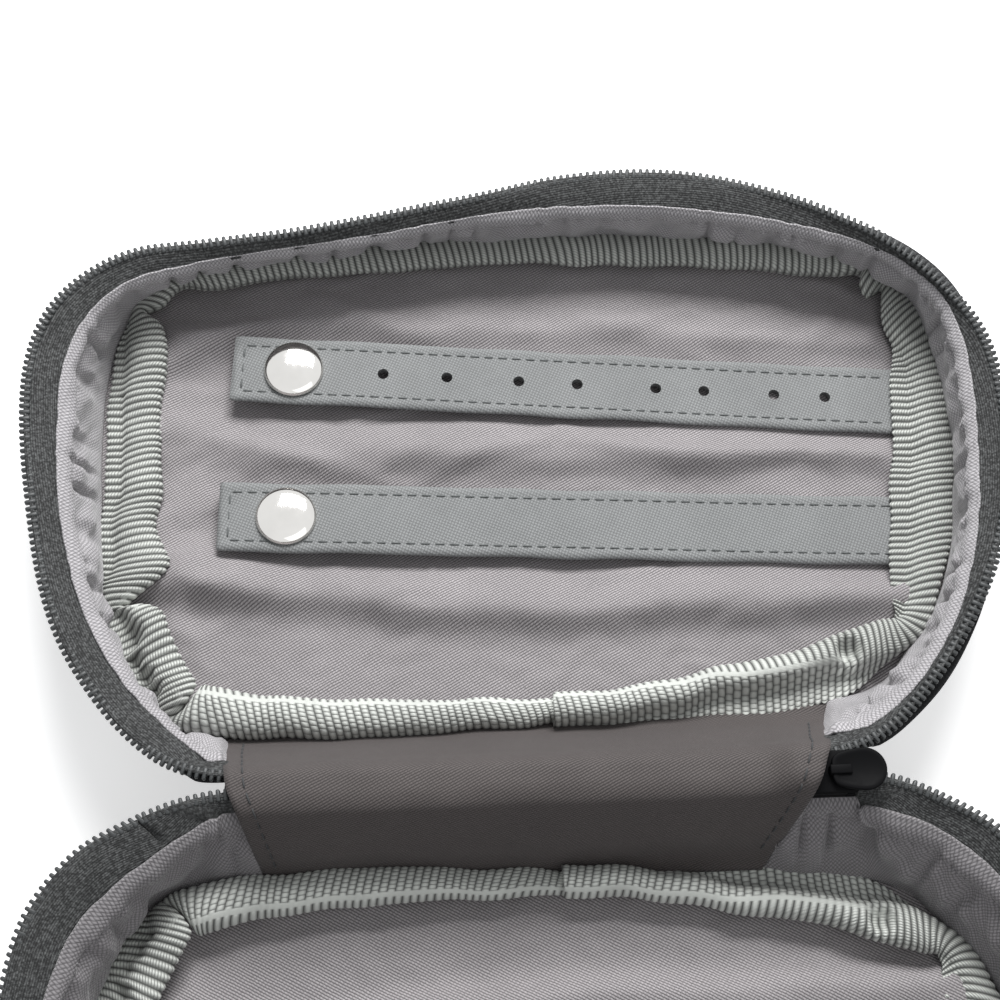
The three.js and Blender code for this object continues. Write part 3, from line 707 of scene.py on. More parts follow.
liningCloth = twillFabric("liningCloth", (0.262, 0.245, 0.251), 0.55, 1600.0, contrast=0.85, sheen=0.3)
# the wall lining's colour is set lighter than its cloth, as painted light on the walls
litWallLiningCloth = fabric("litWallLiningCloth", (0.43, 0.415, 0.43), 1700, turned=38.0, sheen=0.4)
# the near half's wall lining: the same cloth made darker, as painted shade
shadedNearWallCloth = fabric("shadedNearWallCloth", (0.26, 0.247, 0.256), 1700, turned=38.0, sheen=0.4)
# the cloth under the hinge lining: its dark colour is painted shade
shadedSpineCloth = twillFabric("shadedSpineCloth", (0.15, 0.142, 0.147), slope=-0.6, contrast=0.8)
# the hinge lining: a cloth like the floor lining's, made much darker as painted shade on the fold
shadedHingeTwill = twillFabric(
    "shadedHingeTwill", (0.073, 0.0635, 0.0615), slope=-0.5, sheen=0.12, roughness=0.65, contrast=0.65
)
strapCloth = fabric("strapCloth", (0.24, 0.2465, 0.2475), 1600, turned=20.0, depth=0.00008, contrast=0.36)
outerNylon = fabric(
    "outerNylon", (0.030, 0.031, 0.033), 1400, roughness=0.65, clouds=0.12, depth=0.00009, contrast=0.35
)
tapeCloth = twillFabric(
    "tapeCloth", (0.032, 0.033, 0.033), 0.03, 2300.0, contrast=0.6, glintFlecks=1.6, sheen=0.08, roughness=0.75
)
grosgrain = webbingMaterial()
greyThread = threadMaterial("greyThread", (0.105, 0.112, 0.112))
darkThread = threadMaterial("darkThread", (0.032, 0.033, 0.035))
nickel = metalMaterial("polishedNickel", (0.80, 0.775, 0.74), 0.05, 0.06, metallic=1.0)
blackEnamel = metalMaterial("blackEnamel", (0.0035, 0.0035, 0.004), 0.5, 0.1, specular=0.06)
teethNylon = polymerMaterial("teethNylon", (0.040, 0.043, 0.044), 0.5)
boardSheet = polymerMaterial("boardSheet", (0.25, 0.23, 0.19), 0.8, 400.0)
foamSheet = polymerMaterial("foamSheet", (0.6, 0.6, 0.57), 0.9, 1800.0)
for half in ("upper", "lower"):
    dressNode(half + "_stiffener_board", boardSheet)
    dressNode(half + "_foam_pad", foamSheet)
print("materials made")


# Floor lining: a slack sheet over the foam

floorCloth = {
    "size": (140, 96), "edge": 0.2, "waveLength": 15, "wave": 1.0, "base": 4.35, "gentle": 7.5, "steep": 3.8,
    "strapRest": 4.75, "thickness": 0.5,
}
drape = {"scale": 10, "frames": 20, "foamTop": 3.6, "clearance": 0.004}
drapeSettings = {
    "quality": 6, "mass": 0.12, "tension_stiffness": 300, "compression_stiffness": 300, "shear_stiffness": 40,
    "bending_stiffness": 6, "shrink_min": -0.002, "air_damping": 3, "pin_stiffness": 1,
}
# crests of the slack folds: the height, and points from left to right
floorFolds = [
    (4.0, [
        (-86, 49.6), (-80, 49.2), (-68, 47.4), (-57, 45.9), (-37, 42.9), (-16, 40.2), (4.5, 38.8),
        (25, 38.9), (46, 39.2), (75, 39.7), (88, 39.8),
    ]),
    (2.8, [
        (-60, 76), (-40, 75.8), (-26, 75.7), (6.5, 74.6), (39, 73.4), (71, 73.5), (80, 70.5), (88, 68),
    ]),
    (2.2, [
        (-82, 97), (-76, 99.7), (-69, 103.6), (-58, 107.3), (-25, 106.9), (8, 105), (41, 102.2),
        (63, 100.2), (81, 98.4), (88, 98),
    ]),
    (1.8, [
        (-86, 85.5), (-76, 82.9), (-64, 79.3), (-60, 79),
    ]),
    (1.2, [
        (-84, 60), (-74, 64), (-67, 70),
    ]),
]

def floorSides(outline, outer=False):
    # the four sides of a floor outline, each as a function of a share from 0 to 1
    near, far = (turnMarks[1] + turnMarks[2]) / 2, (turnMarks[3] + turnMarks[4]) / 2
    ends = {"near": (-near, near), "right": (near, far), "far": (1 - far, far), "left": (1 - near, 1 - far)}
    sides = {}
    for label, (start, end) in ends.items():
        even, _ = evenPlaces(lambda a: outlineAt(outline, a), start, end, sideSteps)
        x, y, nx, ny = outlineAt(outline, even)
        lean = smoothTable(seamLean, even % 1.0) + (footRoom(even % 1.0) if outer else 0)
        sides[label] = (x + nx * lean, y + ny * lean)
    return sides


def floorPlace(s, t, edge, outer=False):
    # x and y between the four sides
    sides = floorSides(inset(floorOutline, edge), outer)
    knots = np.linspace(0, 1, sideSteps)
    result = []
    for axis in range(2):
        nearSide, farSide = sides["near"][axis], sides["far"][axis]
        near, far = np.interp(s, knots, nearSide), np.interp(s, knots, farSide)
        left, right = (np.interp(t, knots, sides[label][axis]) for label in ("left", "right"))
        flatNear = (1 - s) * nearSide[0] + s * nearSide[-1]
        flatFar = (1 - s) * farSide[0] + s * farSide[-1]
        flat = (1 - t) * flatNear + t * flatFar
        result.append((1 - t) * near + t * far + (1 - s) * left + s * right - flat)
    return result


def makeFloorCloth(name):
    f = floorCloth

    def place(s, t):
        x, y = floorPlace(s, t, f["edge"])
        fade = easeIn(edgeShare(s, t), 0.0, 0.2)
        drift = 2.0 * np.sin(x / 41 + 0.6) + 3.0 * ripple(x, y, 80, 3)
        crest = 0.5 + 0.5 * np.sin((y + drift) * 2 * math.pi / f["waveLength"] + 0.9)
        corner = bell(np.abs(x) - 80, 16) * np.sin((x * 0.5 + y) / 2.6)
        wave = crest * (0.8 + 0.3 * ripple(x, y, 60, 4)) + 0.4 * corner + 0.15 * ripple(x, y, 12, 5)
        return x, y, f["base"] + f["wave"] * fade * wave, x, y

    piece = gridPiece(name, {"size": f["size"]}, place)
    drapeFloor(piece)
    raiseFolds(piece)
    return piece


def raiseFolds(piece):
    # long folds, gentle on the far side of their crest and steep on the near side
    places = points(piece) / mm
    spot = np.abs(places[:, :2] - np.array([0, 71])) / np.array([86, 52])
    fade = easeIn(-np.max(spot, axis=1), -1.0, -0.9)
    x, y = places[:, 0], places[:, 1]
    for height, crest in floorFolds:
        away = y - smoothTable(crest, x) + 0.5 * ripple(x, y, 34, 8)
        start, end = crest[0][0], crest[-1][0]
        ends = easeIn(x, start - 3, start + 5) * easeIn(-x, -end - 3, -end + 5)
        shape = bell(away, np.where(away > 0, floorCloth["gentle"], floorCloth["steep"]))
        places[:, 2] += height * shape * ends * fade * (1 + 0.2 * ripple(x, y, 40, 9))
    setPoints(piece, places * mm)


def rimOf(piece):
    # the points along the free edge of a sheet
    uses = np.zeros(len(piece.data.edges), int)
    loopEdges = np.empty(len(piece.data.loops), int)
    piece.data.loops.foreach_get("edge_index", loopEdges)
    np.add.at(uses, loopEdges, 1)
    ends = np.empty(len(piece.data.edges) * 2, int)
    piece.data.edges.foreach_get("vertices", ends)
    return [int(v) for v in np.unique(ends.reshape(-1, 2)[uses == 1])]


def drapeFloor(piece):
    # lets the slack sheet, sewn down all round, settle on the foam. Worked at ten times its size
    flat = points(piece) * drape["scale"]
    setPoints(piece, flat)
    piece.vertex_groups.new(name="sewn").add(rimOf(piece), 1.0, "REPLACE")
    deselectAll()
    top = drape["foamTop"] * mm * drape["scale"]
    bpy.ops.mesh.primitive_plane_add(size=4, location=(0, 0.7, top))
    foam = bpy.context.object
    bpy.ops.object.modifier_add(type="COLLISION")
    foam.collision.thickness_outer = drape["clearance"]
    activate(piece)
    cloth = piece.modifiers.new("drape", "CLOTH")
    for key, value in drapeSettings.items():
        setattr(cloth.settings, key, value)
    cloth.settings.vertex_group_mass = "sewn"
    cloth.collision_settings.distance_min = drape["clearance"]
    cloth.collision_settings.use_self_collision = False
    for step in range(drape["frames"]):
        bpy.context.scene.frame_set(step + 1)
    found = piece.evaluated_get(bpy.context.evaluated_depsgraph_get())
    draped = points(found)
    piece.modifiers.remove(cloth)
    setPoints(piece, draped / drape["scale"])
    remove(foam)
    bpy.context.scene.frame_set(1)
    print("floor lining draped")


# the straps: where each is sewn down, which way it runs, and its punched holes, from the sewn end
straps = {
    "earring": {
        "root": (76.68, 85.0), "tilt": -4.6, "pitch": 1.25, "length": 138.5, "width": 15.5, "snap": 125.2,
        "crown": 0.2, "holes": [9.8, 20.9, 36.2, 46.7, 63.8, 76.5, 92.1, 105.9],
    },
    "ring": {
        "root": (75.33, 54.5), "tilt": -2.9, "pitch": 1.23, "length": 139.5, "width": 15.5, "snap": 125.3,
        "crown": 0.4, "holes": [],
    },
}


def pressUnderStraps(piece):
    # keeps the floor below the straps, at rest on it
    places = points(piece) / mm
    for s in straps.values():
        angle, length = math.radians(s["tilt"]), s["length"]
        x, y = places[:, 0] - s["root"][0], places[:, 1] - s["root"][1]
        along = -(x * math.cos(angle) + y * math.sin(angle))
        side = -x * math.sin(angle) + y * math.cos(angle)
        under = floorCloth["strapRest"] + np.clip(along, 0, length) * math.sin(math.radians(s["pitch"]))
        near = easeIn(-np.abs(side), -14, -8.2) * easeIn(along, -16, -2)
        near = near * easeIn(-along, -length - 5, -length)
        places[:, 2] += (np.minimum(places[:, 2], under) - places[:, 2]) * near
    setPoints(piece, places * mm)


print("floor linings")
upperFloor = makeFloorCloth("upperFloorLining")
lowerFloor = mirror(copyOf(upperFloor, "lowerFloorLining"))
pressUnderStraps(upperFloor)
for half, piece in (("upper", upperFloor), ("lower", lowerFloor)):
    thicken(piece, floorCloth["thickness"])
    finishPiece(piece, liningCloth, half + "_half", (half + "_floor_lining",))


# Section of the hinge lining across the fold, as y and height, which the ends of the tapes run under
hingeProfile = [
    (17.0, 4.6), (15.2, 4.9), (13.3, 6.6), (9.3, 13.6), (5.4, 20.8), (3.4, 24.5), (1.5, 26.4), (-1, 26.9),
    (-3.5, 26.9), (-5.8, 26.0), (-8, 22.5), (-11, 16), (-14.6, 6.8), (-16.2, 5.2),
]
# Its two side edges, as y and distance from the middle
hingeLeft = [
    (-18, 52.2), (-13.7, 54.2), (-8.8, 56.3), (-4.4, 58.1), (-1.6, 59.2), (2.7, 60), (10, 61.6),
    (17, 62.2),
]
hingeRight = [
    (-19, 41), (-16.8, 42.8), (-13.4, 45.3), (-10.9, 47.5), (-8.6, 49.4), (-6.4, 51), (-3.6, 52.4),
    (-0.5, 53.5), (2, 54.5), (7, 56.6), (11, 58.3), (14.5, 59.6), (17, 60.2),
]

def underPanel(x, y, z, flare, drop):
    # the height lowered below the hinge lining where that covers the place
    across = -y if flare else y
    edge = np.where(x > 0, smoothTable(hingeRight, across), smoothTable(hingeLeft, across))
    below = smoothTable(hingeProfile[::-1], across) - drop
    inside = easeIn(edge - np.abs(x), -0.6, 0.9) * (np.abs(across) < 19)
    return z + (np.minimum(z, below) - z) * inside


# Wall lining: a band gathered into the zip seam

wallCloth = {
    "size": (700, 44), "gatherPitch": 6.0, "gather": 0.9, "slack": 1.1, "hem": 0.8, "dimplePitch": 9.6,
    "stitchPitch": 3.1, "stitchDepth": 1.1, "height": 18, "panelDrop": 1.8, "thickness": 0.4, "start": 0.08,
}


def makeWallLining(name, seed, flare):
    f = wallCloth
    alongBand, _ = band(lambda a: wallPoint(a, 0.8), f["start"])

    def place(s, t):
        around, run = alongBand(s)
        high = t * f["height"]
        belly = np.sin(math.pi * t)
        footX, footY = wallPoint(around, 0.0, 0.0, flare)[:2]
        topX, topY, outX, outY = wallPoint(around, 1.0, 0.0, flare)
        # the folds run straight up the wall, not along its leaning lines
        slide = (topX - footX) * -outY + (topY - footY) * outX
        phase = run + slide * (t - 0.8)
        pucker = ripple(phase, run * 0, f["gatherPitch"], seed, 7)
        top = easeIn(t, 0.5, f["hem"])
        folds = f["gather"] * np.abs(pucker) ** 1.3 * top * (1 - 0.85 * easeIn(t, 0.72, 0.92))
        drift = ripple(phase, run * 0, 34, seed + 7, 5)
        beat = np.maximum(np.sin((phase + 5 * drift) * 2 * math.pi / f["dimplePitch"]), 0) ** 2
        folds = folds + (1.5 - (1.9 + drift) * beat) * bell(t - 0.52, 0.27)
        streaks = 0.2 * ripple(run, high * 0.35, 5, seed + 3) * belly
        slack = f["slack"] * ripple(phase, high * 1.4, 13, seed + 1) * belly**0.8
        thread = 0.4 + 0.6 * np.sin(run * math.pi / f["stitchPitch"]) ** 4
        stitched = -f["stitchDepth"] * bell(t - f["hem"], 0.035) * thread
        over = 1.9 * easeIn(t, 0.7, 0.88) - 1.2 * easeIn(t, 0.92, 1.0)
        inward = 0.8 + folds + streaks - slack * 0.6 + stitched + over
        inward = 0.3 + np.log1p(np.exp((inward - 0.3) * 3)) / 3
        tuck = easeIn(-np.minimum(s, 1 - s), -0.012, -0.002)
        inward = inward + (0.1 - inward) * tuck
        x, y, nx, ny = wallPoint(around, t, 0.0, flare)
        x, y = x - nx * inward, y - ny * inward
        z = floorTop + 0.15 + (wallTop - floorTop + 1.5) * t
        z = z + 0.2 * ripple(run, run * 0, 9, seed + 5) * easeIn(t, 0.8, 1.0)
        return x, y, underPanel(x, y, z, flare, f["panelDrop"]), phase, high

    return gridPiece(name, f, place)


print("wall linings")
upperWall = makeWallLining("upperWallLining", 21, 0)
lowerWall = mirror(makeWallLining("lowerWallLining", 33, 1))
for half, piece, cloth in (("upper", upperWall, litWallLiningCloth), ("lower", lowerWall, shadedNearWallCloth)):
    finishPiece(piece, cloth, half + "_half", (half + "_wall_lining",))


# Webbing folded over the floor seam: it curls to a roll beside the hinge, bunches at the corners and laps

webbing = {
    "ribPitch": 1.55, "ribHeight": 0.3, "perRib": 6, "around": 34, "thickness": 1.5, "slant": 1.2,
    "base": 4.95, "strip": 0.9,
}
# sewn edge x and y, free edge x and y, lift of the free edge, height of the roll, share of its flat strip.
# A strip below 0 lies along the free edge. The list starts at the lap and goes round by the right
webbingRoute = [
    (3.8, 14.0, 4.0, 20.6, 0.3, 6.6, 0.0), (10.7, 14.0, 10.9, 20.8, 0.3, 6.4, 0.03),
    (21.6, 14.4, 21.6, 21.6, 0.3, 6.0, 0.12), (32.3, 15.0, 32.6, 23.9, 0.3, 5.8, 0.27),
    (42.9, 15.0, 43.4, 25.7, 0.3, 5.6, 0.4), (53.9, 16.3, 54.3, 27.6, 0.3, 5.8, 0.44),
    (61.9, 17.9, 63.0, 30.9, 0.3, 6.6, 0.4), (67.3, 20.5, 67.9, 32.7, 0.3, 6.6, 0.22),
    (72.1, 23.7, 72.7, 33.6, 0.4, 6.0, 0.06), (76.2, 26.8, 75.6, 33.6, 0.8, 4.5, 0.0),
    (80.2, 30.4, 76.2, 35.4, 1.4, 3.2, -0.2), (83.4, 35.0, 75.6, 38.0, 1.6, 3.0, -0.34),
    (85.8, 40.0, 75.6, 41.0, 1.7, 3.0, -0.35), (89.4, 48.5, 76.4, 48.0, 1.7, 3.0, -0.35),
    (92.0, 59.0, 78.0, 58.6, 1.7, 3.0, -0.33), (93.6, 69.6, 79.6, 69.4, 1.7, 3.0, -0.33),
    (94.6, 80.8, 81.0, 80.5, 1.7, 3.0, -0.34), (94.4, 91.4, 82.0, 90.6, 1.7, 3.0, -0.32),
    (93.2, 98.2, 82.9, 95.0, 1.5, 3.2, -0.2), (92.0, 103.4, 83.2, 98.0, 1.4, 3.4, -0.04),
    (90.9, 106.8, 82.2, 100.9, 1.4, 3.6, 0.0), (89.4, 109.6, 81.4, 104.7, 1.6, 3.8, 0.0),
    (87.6, 112.4, 81.6, 108.4, 1.8, 3.8, 0.0), (86.4, 114.0, 82.4, 111.6, 0.8, 3.6, 0.0),
    (84.9, 115.4, 78.6, 108.6, 1.6, 4.4, 0.0), (82.6, 116.8, 77.2, 111.4, 2.2, 5.4, 0.0),
    (79.4, 118.4, 77.6, 114.8, 1.6, 6.4, 0.0), (74.5, 120.4, 72.4, 114.6, 0.9, 6.6, 0.0),
    (68.9, 121.6, 67.1, 114.8, 0.7, 6.6, 0.0), (55.4, 124.8, 53.8, 117.0, 0.6, 6.0, 0.0),
    (41.5, 126.6, 40.0, 118.4, 0.6, 5.2, 0.0), (27.7, 127.3, 26.6, 119.0, 0.6, 5.0, 0.0),
    (-0.1, 128.0, -0.5, 120.6, 0.6, 4.8, 0.0), (-27.9, 127.6, -27.7, 119.2, 0.6, 5.2, 0.0),
    (-55.5, 124.8, -54.7, 117.6, 0.7, 6.2, 0.0), (-69.3, 122.4, -67.1, 115.6, 0.9, 6.8, 0.0),
    (-76.0, 120.2, -72.3, 116.2, 1.0, 6.6, 0.0), (-80.4, 118.0, -74.6, 114.2, 1.6, 5.4, 0.0),
    (-82.6, 115.2, -76.4, 111.6, 1.8, 4.4, 0.0), (-84.2, 112.4, -80.3, 111.0, 0.8, 3.6, 0.04),
    (-85.4, 108.4, -77.3, 107.6, 1.5, 4.2, 0.08), (-86.4, 104.0, -75.9, 103.0, 1.6, 4.2, 0.16),
    (-87.2, 99.0, -75.8, 98.2, 1.3, 3.8, 0.24), (-88.1, 90.4, -76.6, 89.6, 0.8, 3.4, 0.28),
    (-88.3, 69.8, -76.3, 69.6, 0.7, 3.4, 0.28), (-88.6, 60.0, -76.6, 59.4, 0.8, 3.4, 0.26),
    (-88.6, 56.2, -75.1, 55.2, 1.8, 3.6, 0.24), (-88.8, 53.2, -73.9, 51.6, 3.4, 3.6, 0.22),
    (-89.0, 49.6, -76.0, 47.6, 3.4, 3.4, 0.18), (-88.8, 46.4, -80.9, 44.2, 1.6, 2.8, 0.16),
    (-88.3, 43.4, -83.0, 43.0, 0.6, 2.2, 0.18), (-87.6, 40.4, -79.0, 43.2, 1.8, 3.0, 0.2),
    (-86.9, 37.0, -75.0, 40.8, 3.4, 3.8, 0.22), (-85.8, 33.0, -73.2, 36.4, 3.4, 4.2, 0.24),
    (-84.4, 29.2, -71.1, 31.4, 2.6, 4.0, 0.3), (-82.2, 25.9, -69.0, 27.4, 2.8, 4.4, 0.34),
    (-79.5, 23.2, -67.6, 24.6, 3.0, 4.8, 0.28), (-77.2, 20.7, -69.2, 21.2, 2.6, 4.4, 0.16),
    (-75.4, 18.7, -72.2, 18.2, 0.8, 3.0, 0.06), (-73.3, 17.2, -69.9, 20.4, 0.6, 4.0, 0.0),
    (-70.1, 16.0, -66.6, 24.6, 0.6, 5.8, 0.0), (-64.9, 14.8, -64.4, 24.2, 0.5, 6.8, 0.0),
    (-54.2, 13.7, -53.9, 22.2, 0.4, 6.8, 0.0), (-43.4, 13.3, -43.1, 20.9, 0.4, 6.6, 0.0),
    (-32.5, 13.1, -32.3, 20.5, 0.4, 6.4, 0.0), (-21.7, 13.4, -21.4, 20.1, 0.3, 6.0, 0.0),
    (-11.0, 14.1, -10.8, 19.9, 0.2, 5.4, 0.0), (-0.2, 14.8, -0.1, 19.9, 0.0, 4.8, 0.0),
    (8.0, 15.0, 8.0, 19.6, -0.2, 4.2, 0.0),
]
# hollows where the webbing bunches: x, y, radius and depth
pockets = [
    (64.6, 27.0, 2.4, 4.2), (-84.4, 39.2, 2.4, 5.5), (-81.8, 35.8, 2.6, 5.5), (-80.4, 30.6, 1.5, 3.0),
    (-78.2, 27.4, 1.5, 3.4), (-76.2, 24.4, 1.3, 3.0), (86.4, 111.6, 1.6, 1.8),
]

def slopedSide(x, y):
    # 1 along the hinge side and at the near corners
    return easeIn(-y, -29, -22) * easeIn(-np.abs(x), -74, -66)


def makeWebbing(name, seed):
    f = webbing
    rows = np.array(webbingRoute)
    knots = (runAlong(rows[:, 0:2]) + runAlong(rows[:, 2:4])) / 2
    ribs = int(round(knots[-1] / f["ribPitch"]))

    def place(s, t):
        run = s * knots[-1]
        values = (smoothTable(list(zip(knots, rows[:, n])), run) for n in range(7))
        rootX, rootY, edgeX, edgeY, lift, roll, strip = values
        # once round the section: out along the upper face to the free edge and back along the lower
        turn = (t % 1.0) * 2
        isUpper = turn <= 1
        share = 0.5 - 0.5 * np.cos(math.pi * np.where(isUpper, turn, 2 - turn))
        rootStrip, edgeStrip = np.maximum(strip, 0), np.maximum(-strip, 0)
        q = (share - rootStrip) / (1 - rootStrip - edgeStrip)
        onRoll = np.clip(q, 0, 1)
        bow = np.sqrt(np.clip(1 - (2 * onRoll - 1) ** 2, 0, 1))
        ends = np.sqrt(np.clip(1 - (2 * share - 1) ** 10, 0, 1))
        onStrip = np.where(q < 0, easeIn(rootStrip, 0.05, 0.25), 0)
        onStrip = onStrip + np.where(q > 1, easeIn(edgeStrip, 0.05, 0.25), 0)
        flat = (f["thickness"] + (f["strip"] - f["thickness"]) * onStrip) * (0.5 + 0.5 * ends)
        middle = np.where(q > 0.5, roll / 2, roll / 2 * (1 - easeIn(rootStrip, 0.02, 0.2)))
        middle = middle * easeIn(roll, 3.2, 4.6) * easeIn(-edgeStrip, -0.1, 0) * easeIn(q, -0.05, 0.05)
        lowest = np.maximum(middle, 0.5)
        top = ((lowest + (roll - lowest) * bow) ** 4 + flat**4) ** 0.25
        under = np.maximum(middle * (1 - bow), 0.5 * f["thickness"] * (1 - ends))
        slant = f["slant"] * (1 - onRoll)
        rib = np.abs(np.sin((s * ribs - slant) * math.pi)) ** 1.2 - 0.5
        soft = 0.22 * ripple(run, share * 7, 21, seed) + 0.14 * ripple(run, share * 12, 8, seed + 1)
        plain = 1 - 0.6 * slopedSide(rootX, rootY)
        top = top + f["ribHeight"] * plain * rib + soft * easeIn(share, 0.0, 0.2)
        spread = (share - 0.5) * (1 + 2 * f["ribHeight"] * rib * np.abs(2 * share - 1) ** 3 / 8)
        wander = 0.25 * ripple(run, share * 6, 16, seed + 3)
        x = rootX + (edgeX - rootX) * (0.5 + spread) + wander
        y = rootY + (edgeY - rootY) * (0.5 + spread) - wander
        z = f["base"] + lift * share**1.2 + np.where(isUpper, top, under)
        for pocketX, pocketY, radius, depth in pockets:
            near = bell(np.hypot(x - pocketX, y - pocketY), radius, 3.2)
            bottom = f["base"] + np.where(isUpper, 0.7, 0.0)
            z = np.where(z > bottom, np.maximum(z - depth * near, bottom), z)
        width = np.maximum(np.hypot(edgeX - rootX, edgeY - rootY), 9)
        return x, y, z, run - slant * f["ribPitch"], share * width * np.where(isUpper, 1, -1)

    piece = gridPiece(name, {"size": (ribs * f["perRib"], f["around"])}, place, closed=True)
    coarse = piece.data.attributes.new("coarse", "FLOAT", "POINT")
    x, y, _ = points(piece).T / mm
    turned = np.exp(-((((x + 79.5) / 5.0) ** 2 + ((y - 43.6) / 2.2) ** 2) ** 2))
    coarse.data.foreach_set("value", np.maximum(slopedSide(x, y), turned))
    return piece


print("webbing")
upperWebbing = makeWebbing("upperWebbing", 5)
lowerWebbing = mirror(copyOf(upperWebbing, "lowerWebbing"))
for half, piece in (("upper", upperWebbing), ("lower", lowerWebbing)):
    finishPiece(piece, grosgrain, half + "_half", (half + "_floor_binding",))


# Zip tapes: woven bands sewn between the wall and the teeth

tape = {
    "size": (520, 10), "edge": 1.1, "footIn": 1.8, "footZ": 22.3, "top": 25.15, "wave": 0.35,
    "panelDrop": 0.4, "thickness": 0.5, "start": 0.104,
}


def makeTape(name, seed, flare):
    f = tape
    alongBand, _ = band(lambda a: rimPoint(a, 3, flare), f["start"])

    def place(s, t):
        around, run = alongBand(s)
        rx, ry = rimPoint(around, f["edge"], flare)[:2]
        wx, wy = wallPoint(around, 1.0, -f["footIn"], flare)[:2]
        wave = f["wave"] * ripple(run, run * 0, 24, seed) * np.sin(math.pi * t)
        x = rx + (wx - rx) * t
        y = ry + (wy - ry) * t
        z = f["top"] + (f["footZ"] - f["top"]) * t**1.3 + wave
        lowered = underPanel(x, y, z, flare, f["panelDrop"])
        z = z + (lowered - z) * easeIn(t, 0.0, 0.3)
        return x, y, z, run, t * np.hypot(rx - wx, ry - wy)

    return gridPiece(name, f, place, flip=True)


print("zip tapes and teeth")
upperTape = makeTape("upperZipTape", 41, 0)
lowerTape = mirror(makeTape("lowerZipTape", 43, 1))
for half, piece, area in (("upper", upperTape, 0.0028), ("lower", lowerTape, 0.003)):
    finishPiece(piece, tapeCloth, half + "_half", (half + "_zip_tape",))


# Teeth: loops of a coil, each a bent pill whose head stands out of the tape

tooth = {"pitch": 1.45, "size": (0.74, 2.3, 1.2), "out": 1.35, "z": 25.05, "jitter": 0.06, "start": 0.112}


def makeToothModel():
    deselectAll()
    bpy.ops.mesh.primitive_cube_add(size=1, location=(0, 0, 0))
    model = nameIt("toothModel")
    bpy.ops.transform.resize(value=[size * mm for size in tooth["size"]])
    settle(model)
    editMesh()
    bpy.ops.mesh.bevel(offset=0.2 * mm, segments=1, affect="EDGES")
    setMode("OBJECT")
    places = points(model)
    head = easeIn(places[:, 1] / mm, 0.4, 0.9)
    places[:, 0] *= 1 + 0.35 * head
    places[:, 2] *= 1 - 0.12 * head
    setPoints(model, places)
    return model


def makeTeeth(name, model, flare):
    alongBand, length = band(lambda a: rimPoint(a, 0, flare), tooth["start"], fineSteps)
    count = int(length / tooth["pitch"])
    matrices = []
    for number in range(count):
        place, _ = alongBand((number + 0.5) / count)
        x, y, nx, ny = (float(v[0]) for v in rimPoint(np.array([place]), tooth["out"], flare))
        jitter = tooth["jitter"] * math.sin(number * 12.9898)
        matrices.append(frameMatrix((x, y, tooth["z"] + jitter), (-ny, nx, jitter), (0, 0, 1)))
    return copiesOf(model, name, matrices)


toothModel = makeToothModel()
upperTeeth = makeTeeth("upperZipTeeth", toothModel, 0)
lowerTeeth = mirror(makeTeeth("lowerZipTeeth", toothModel, 1))
for half, piece in (("upper", upperTeeth), ("lower", lowerTeeth)):
    finishPiece(piece, teethNylon, half + "_half", (half + "_zip_coil",))
remove(toothModel)


# Hinge lining: one cloth panel from floor seam to floor seam over the fold, and the cloth below it,
# which shows beside its narrow end

hinge = {"size": (96, 84), "thickness": 0.5, "lift": 1.0, "overSlider": 2.6}
spineLining = {"size": (60, 60), "halfWidth": 50.0, "drop": 2.6, "foldDrop": 4.5, "thickness": 0.5}


def overHinge(t):
    # y, height and the way along the section of the hinge
    run = runAlong(np.array(hingeProfile))
    where = t * run[-1]
    y, z = (smoothTable(list(zip(run, values)), where) for values in zip(*hingeProfile))
    return y, z, where


def hingePlace(s, t):
    y, z, where = overHinge(t)
    left, right = -smoothTable(hingeLeft, y), smoothTable(hingeRight, y)
    x = left + (right - left) * s
    over = easeIn(x, 42, 49) * bell(y + 1.5, 6.5, 4)
    soft = 0.3 * ripple(x, where, 30, 51) + 0.12 * ripple(x, where, 11, 52)
    fade = easeIn(np.minimum(t, 1 - t), 0, 0.1)
    z = z + hinge["lift"] + hinge["overSlider"] * over + np.maximum(soft, -0.3) * fade
    return x, y, z, x, where


def spinePlace(s, t):
    y, z, where = overHinge(t)
    x = (2 * s - 1) * spineLining["halfWidth"]
    soft = 0.5 * ripple(x, where, 17, 54) + 0.7 * ripple(x * 1.4, where * 0.25, 9, 55)
    drop = spineLining["drop"] + spineLining["foldDrop"] * bell(y, 8, 6)
    return x, y * 0.985, z - drop + soft, x, where


print("hinge lining")
onSpine = ["upper_spine_wall", "lower_spine_wall"]
hingeLining = gridPiece("hingeLining", hinge, hingePlace, flip=True)
hingeNodes = ("upper_hinge_lining", "lower_hinge_lining")
finishPiece(hingeLining, shadedHingeTwill, nodes=hingeNodes, blendTo=overFold)
# the cloth below the hinge lining, dark with painted shade
spineSheet = gridPiece("spineLining", spineLining, spinePlace, flip=True)
finishPiece(spineSheet, shadedSpineCloth, blendTo=overFold)


# Stitches

stitch = {"length": 2.5, "gap": 0.7, "radius": 0.2, "strapPitch": 3.0, "inward": 3.4}


def makeStitchModel(name):
    length, radius = stitch["length"], stitch["radius"]
    deselectAll()
    bpy.ops.mesh.primitive_cylinder_add(
        vertices=6, radius=radius * mm, depth=length * 0.6 * mm, rotation=(0, math.pi / 2, 0)
    )
    model = nameIt(name)
    settle(model)
    for side in (-1, 1):
        setMode("EDIT")
        selectMesh("DESELECT")
        setMode("OBJECT")
        for face in model.data.polygons:
            face.select = face.normal.x * side > 0.9
        setMode("EDIT")
        move = (side * length * 0.2 * mm, 0, -radius * 1.6 * mm)
        bpy.ops.mesh.extrude_region_move(TRANSFORM_OT_translate={"value": move})
        bpy.ops.transform.resize(value=(1, 0.6, 0.6))
        setMode("OBJECT")
    return model


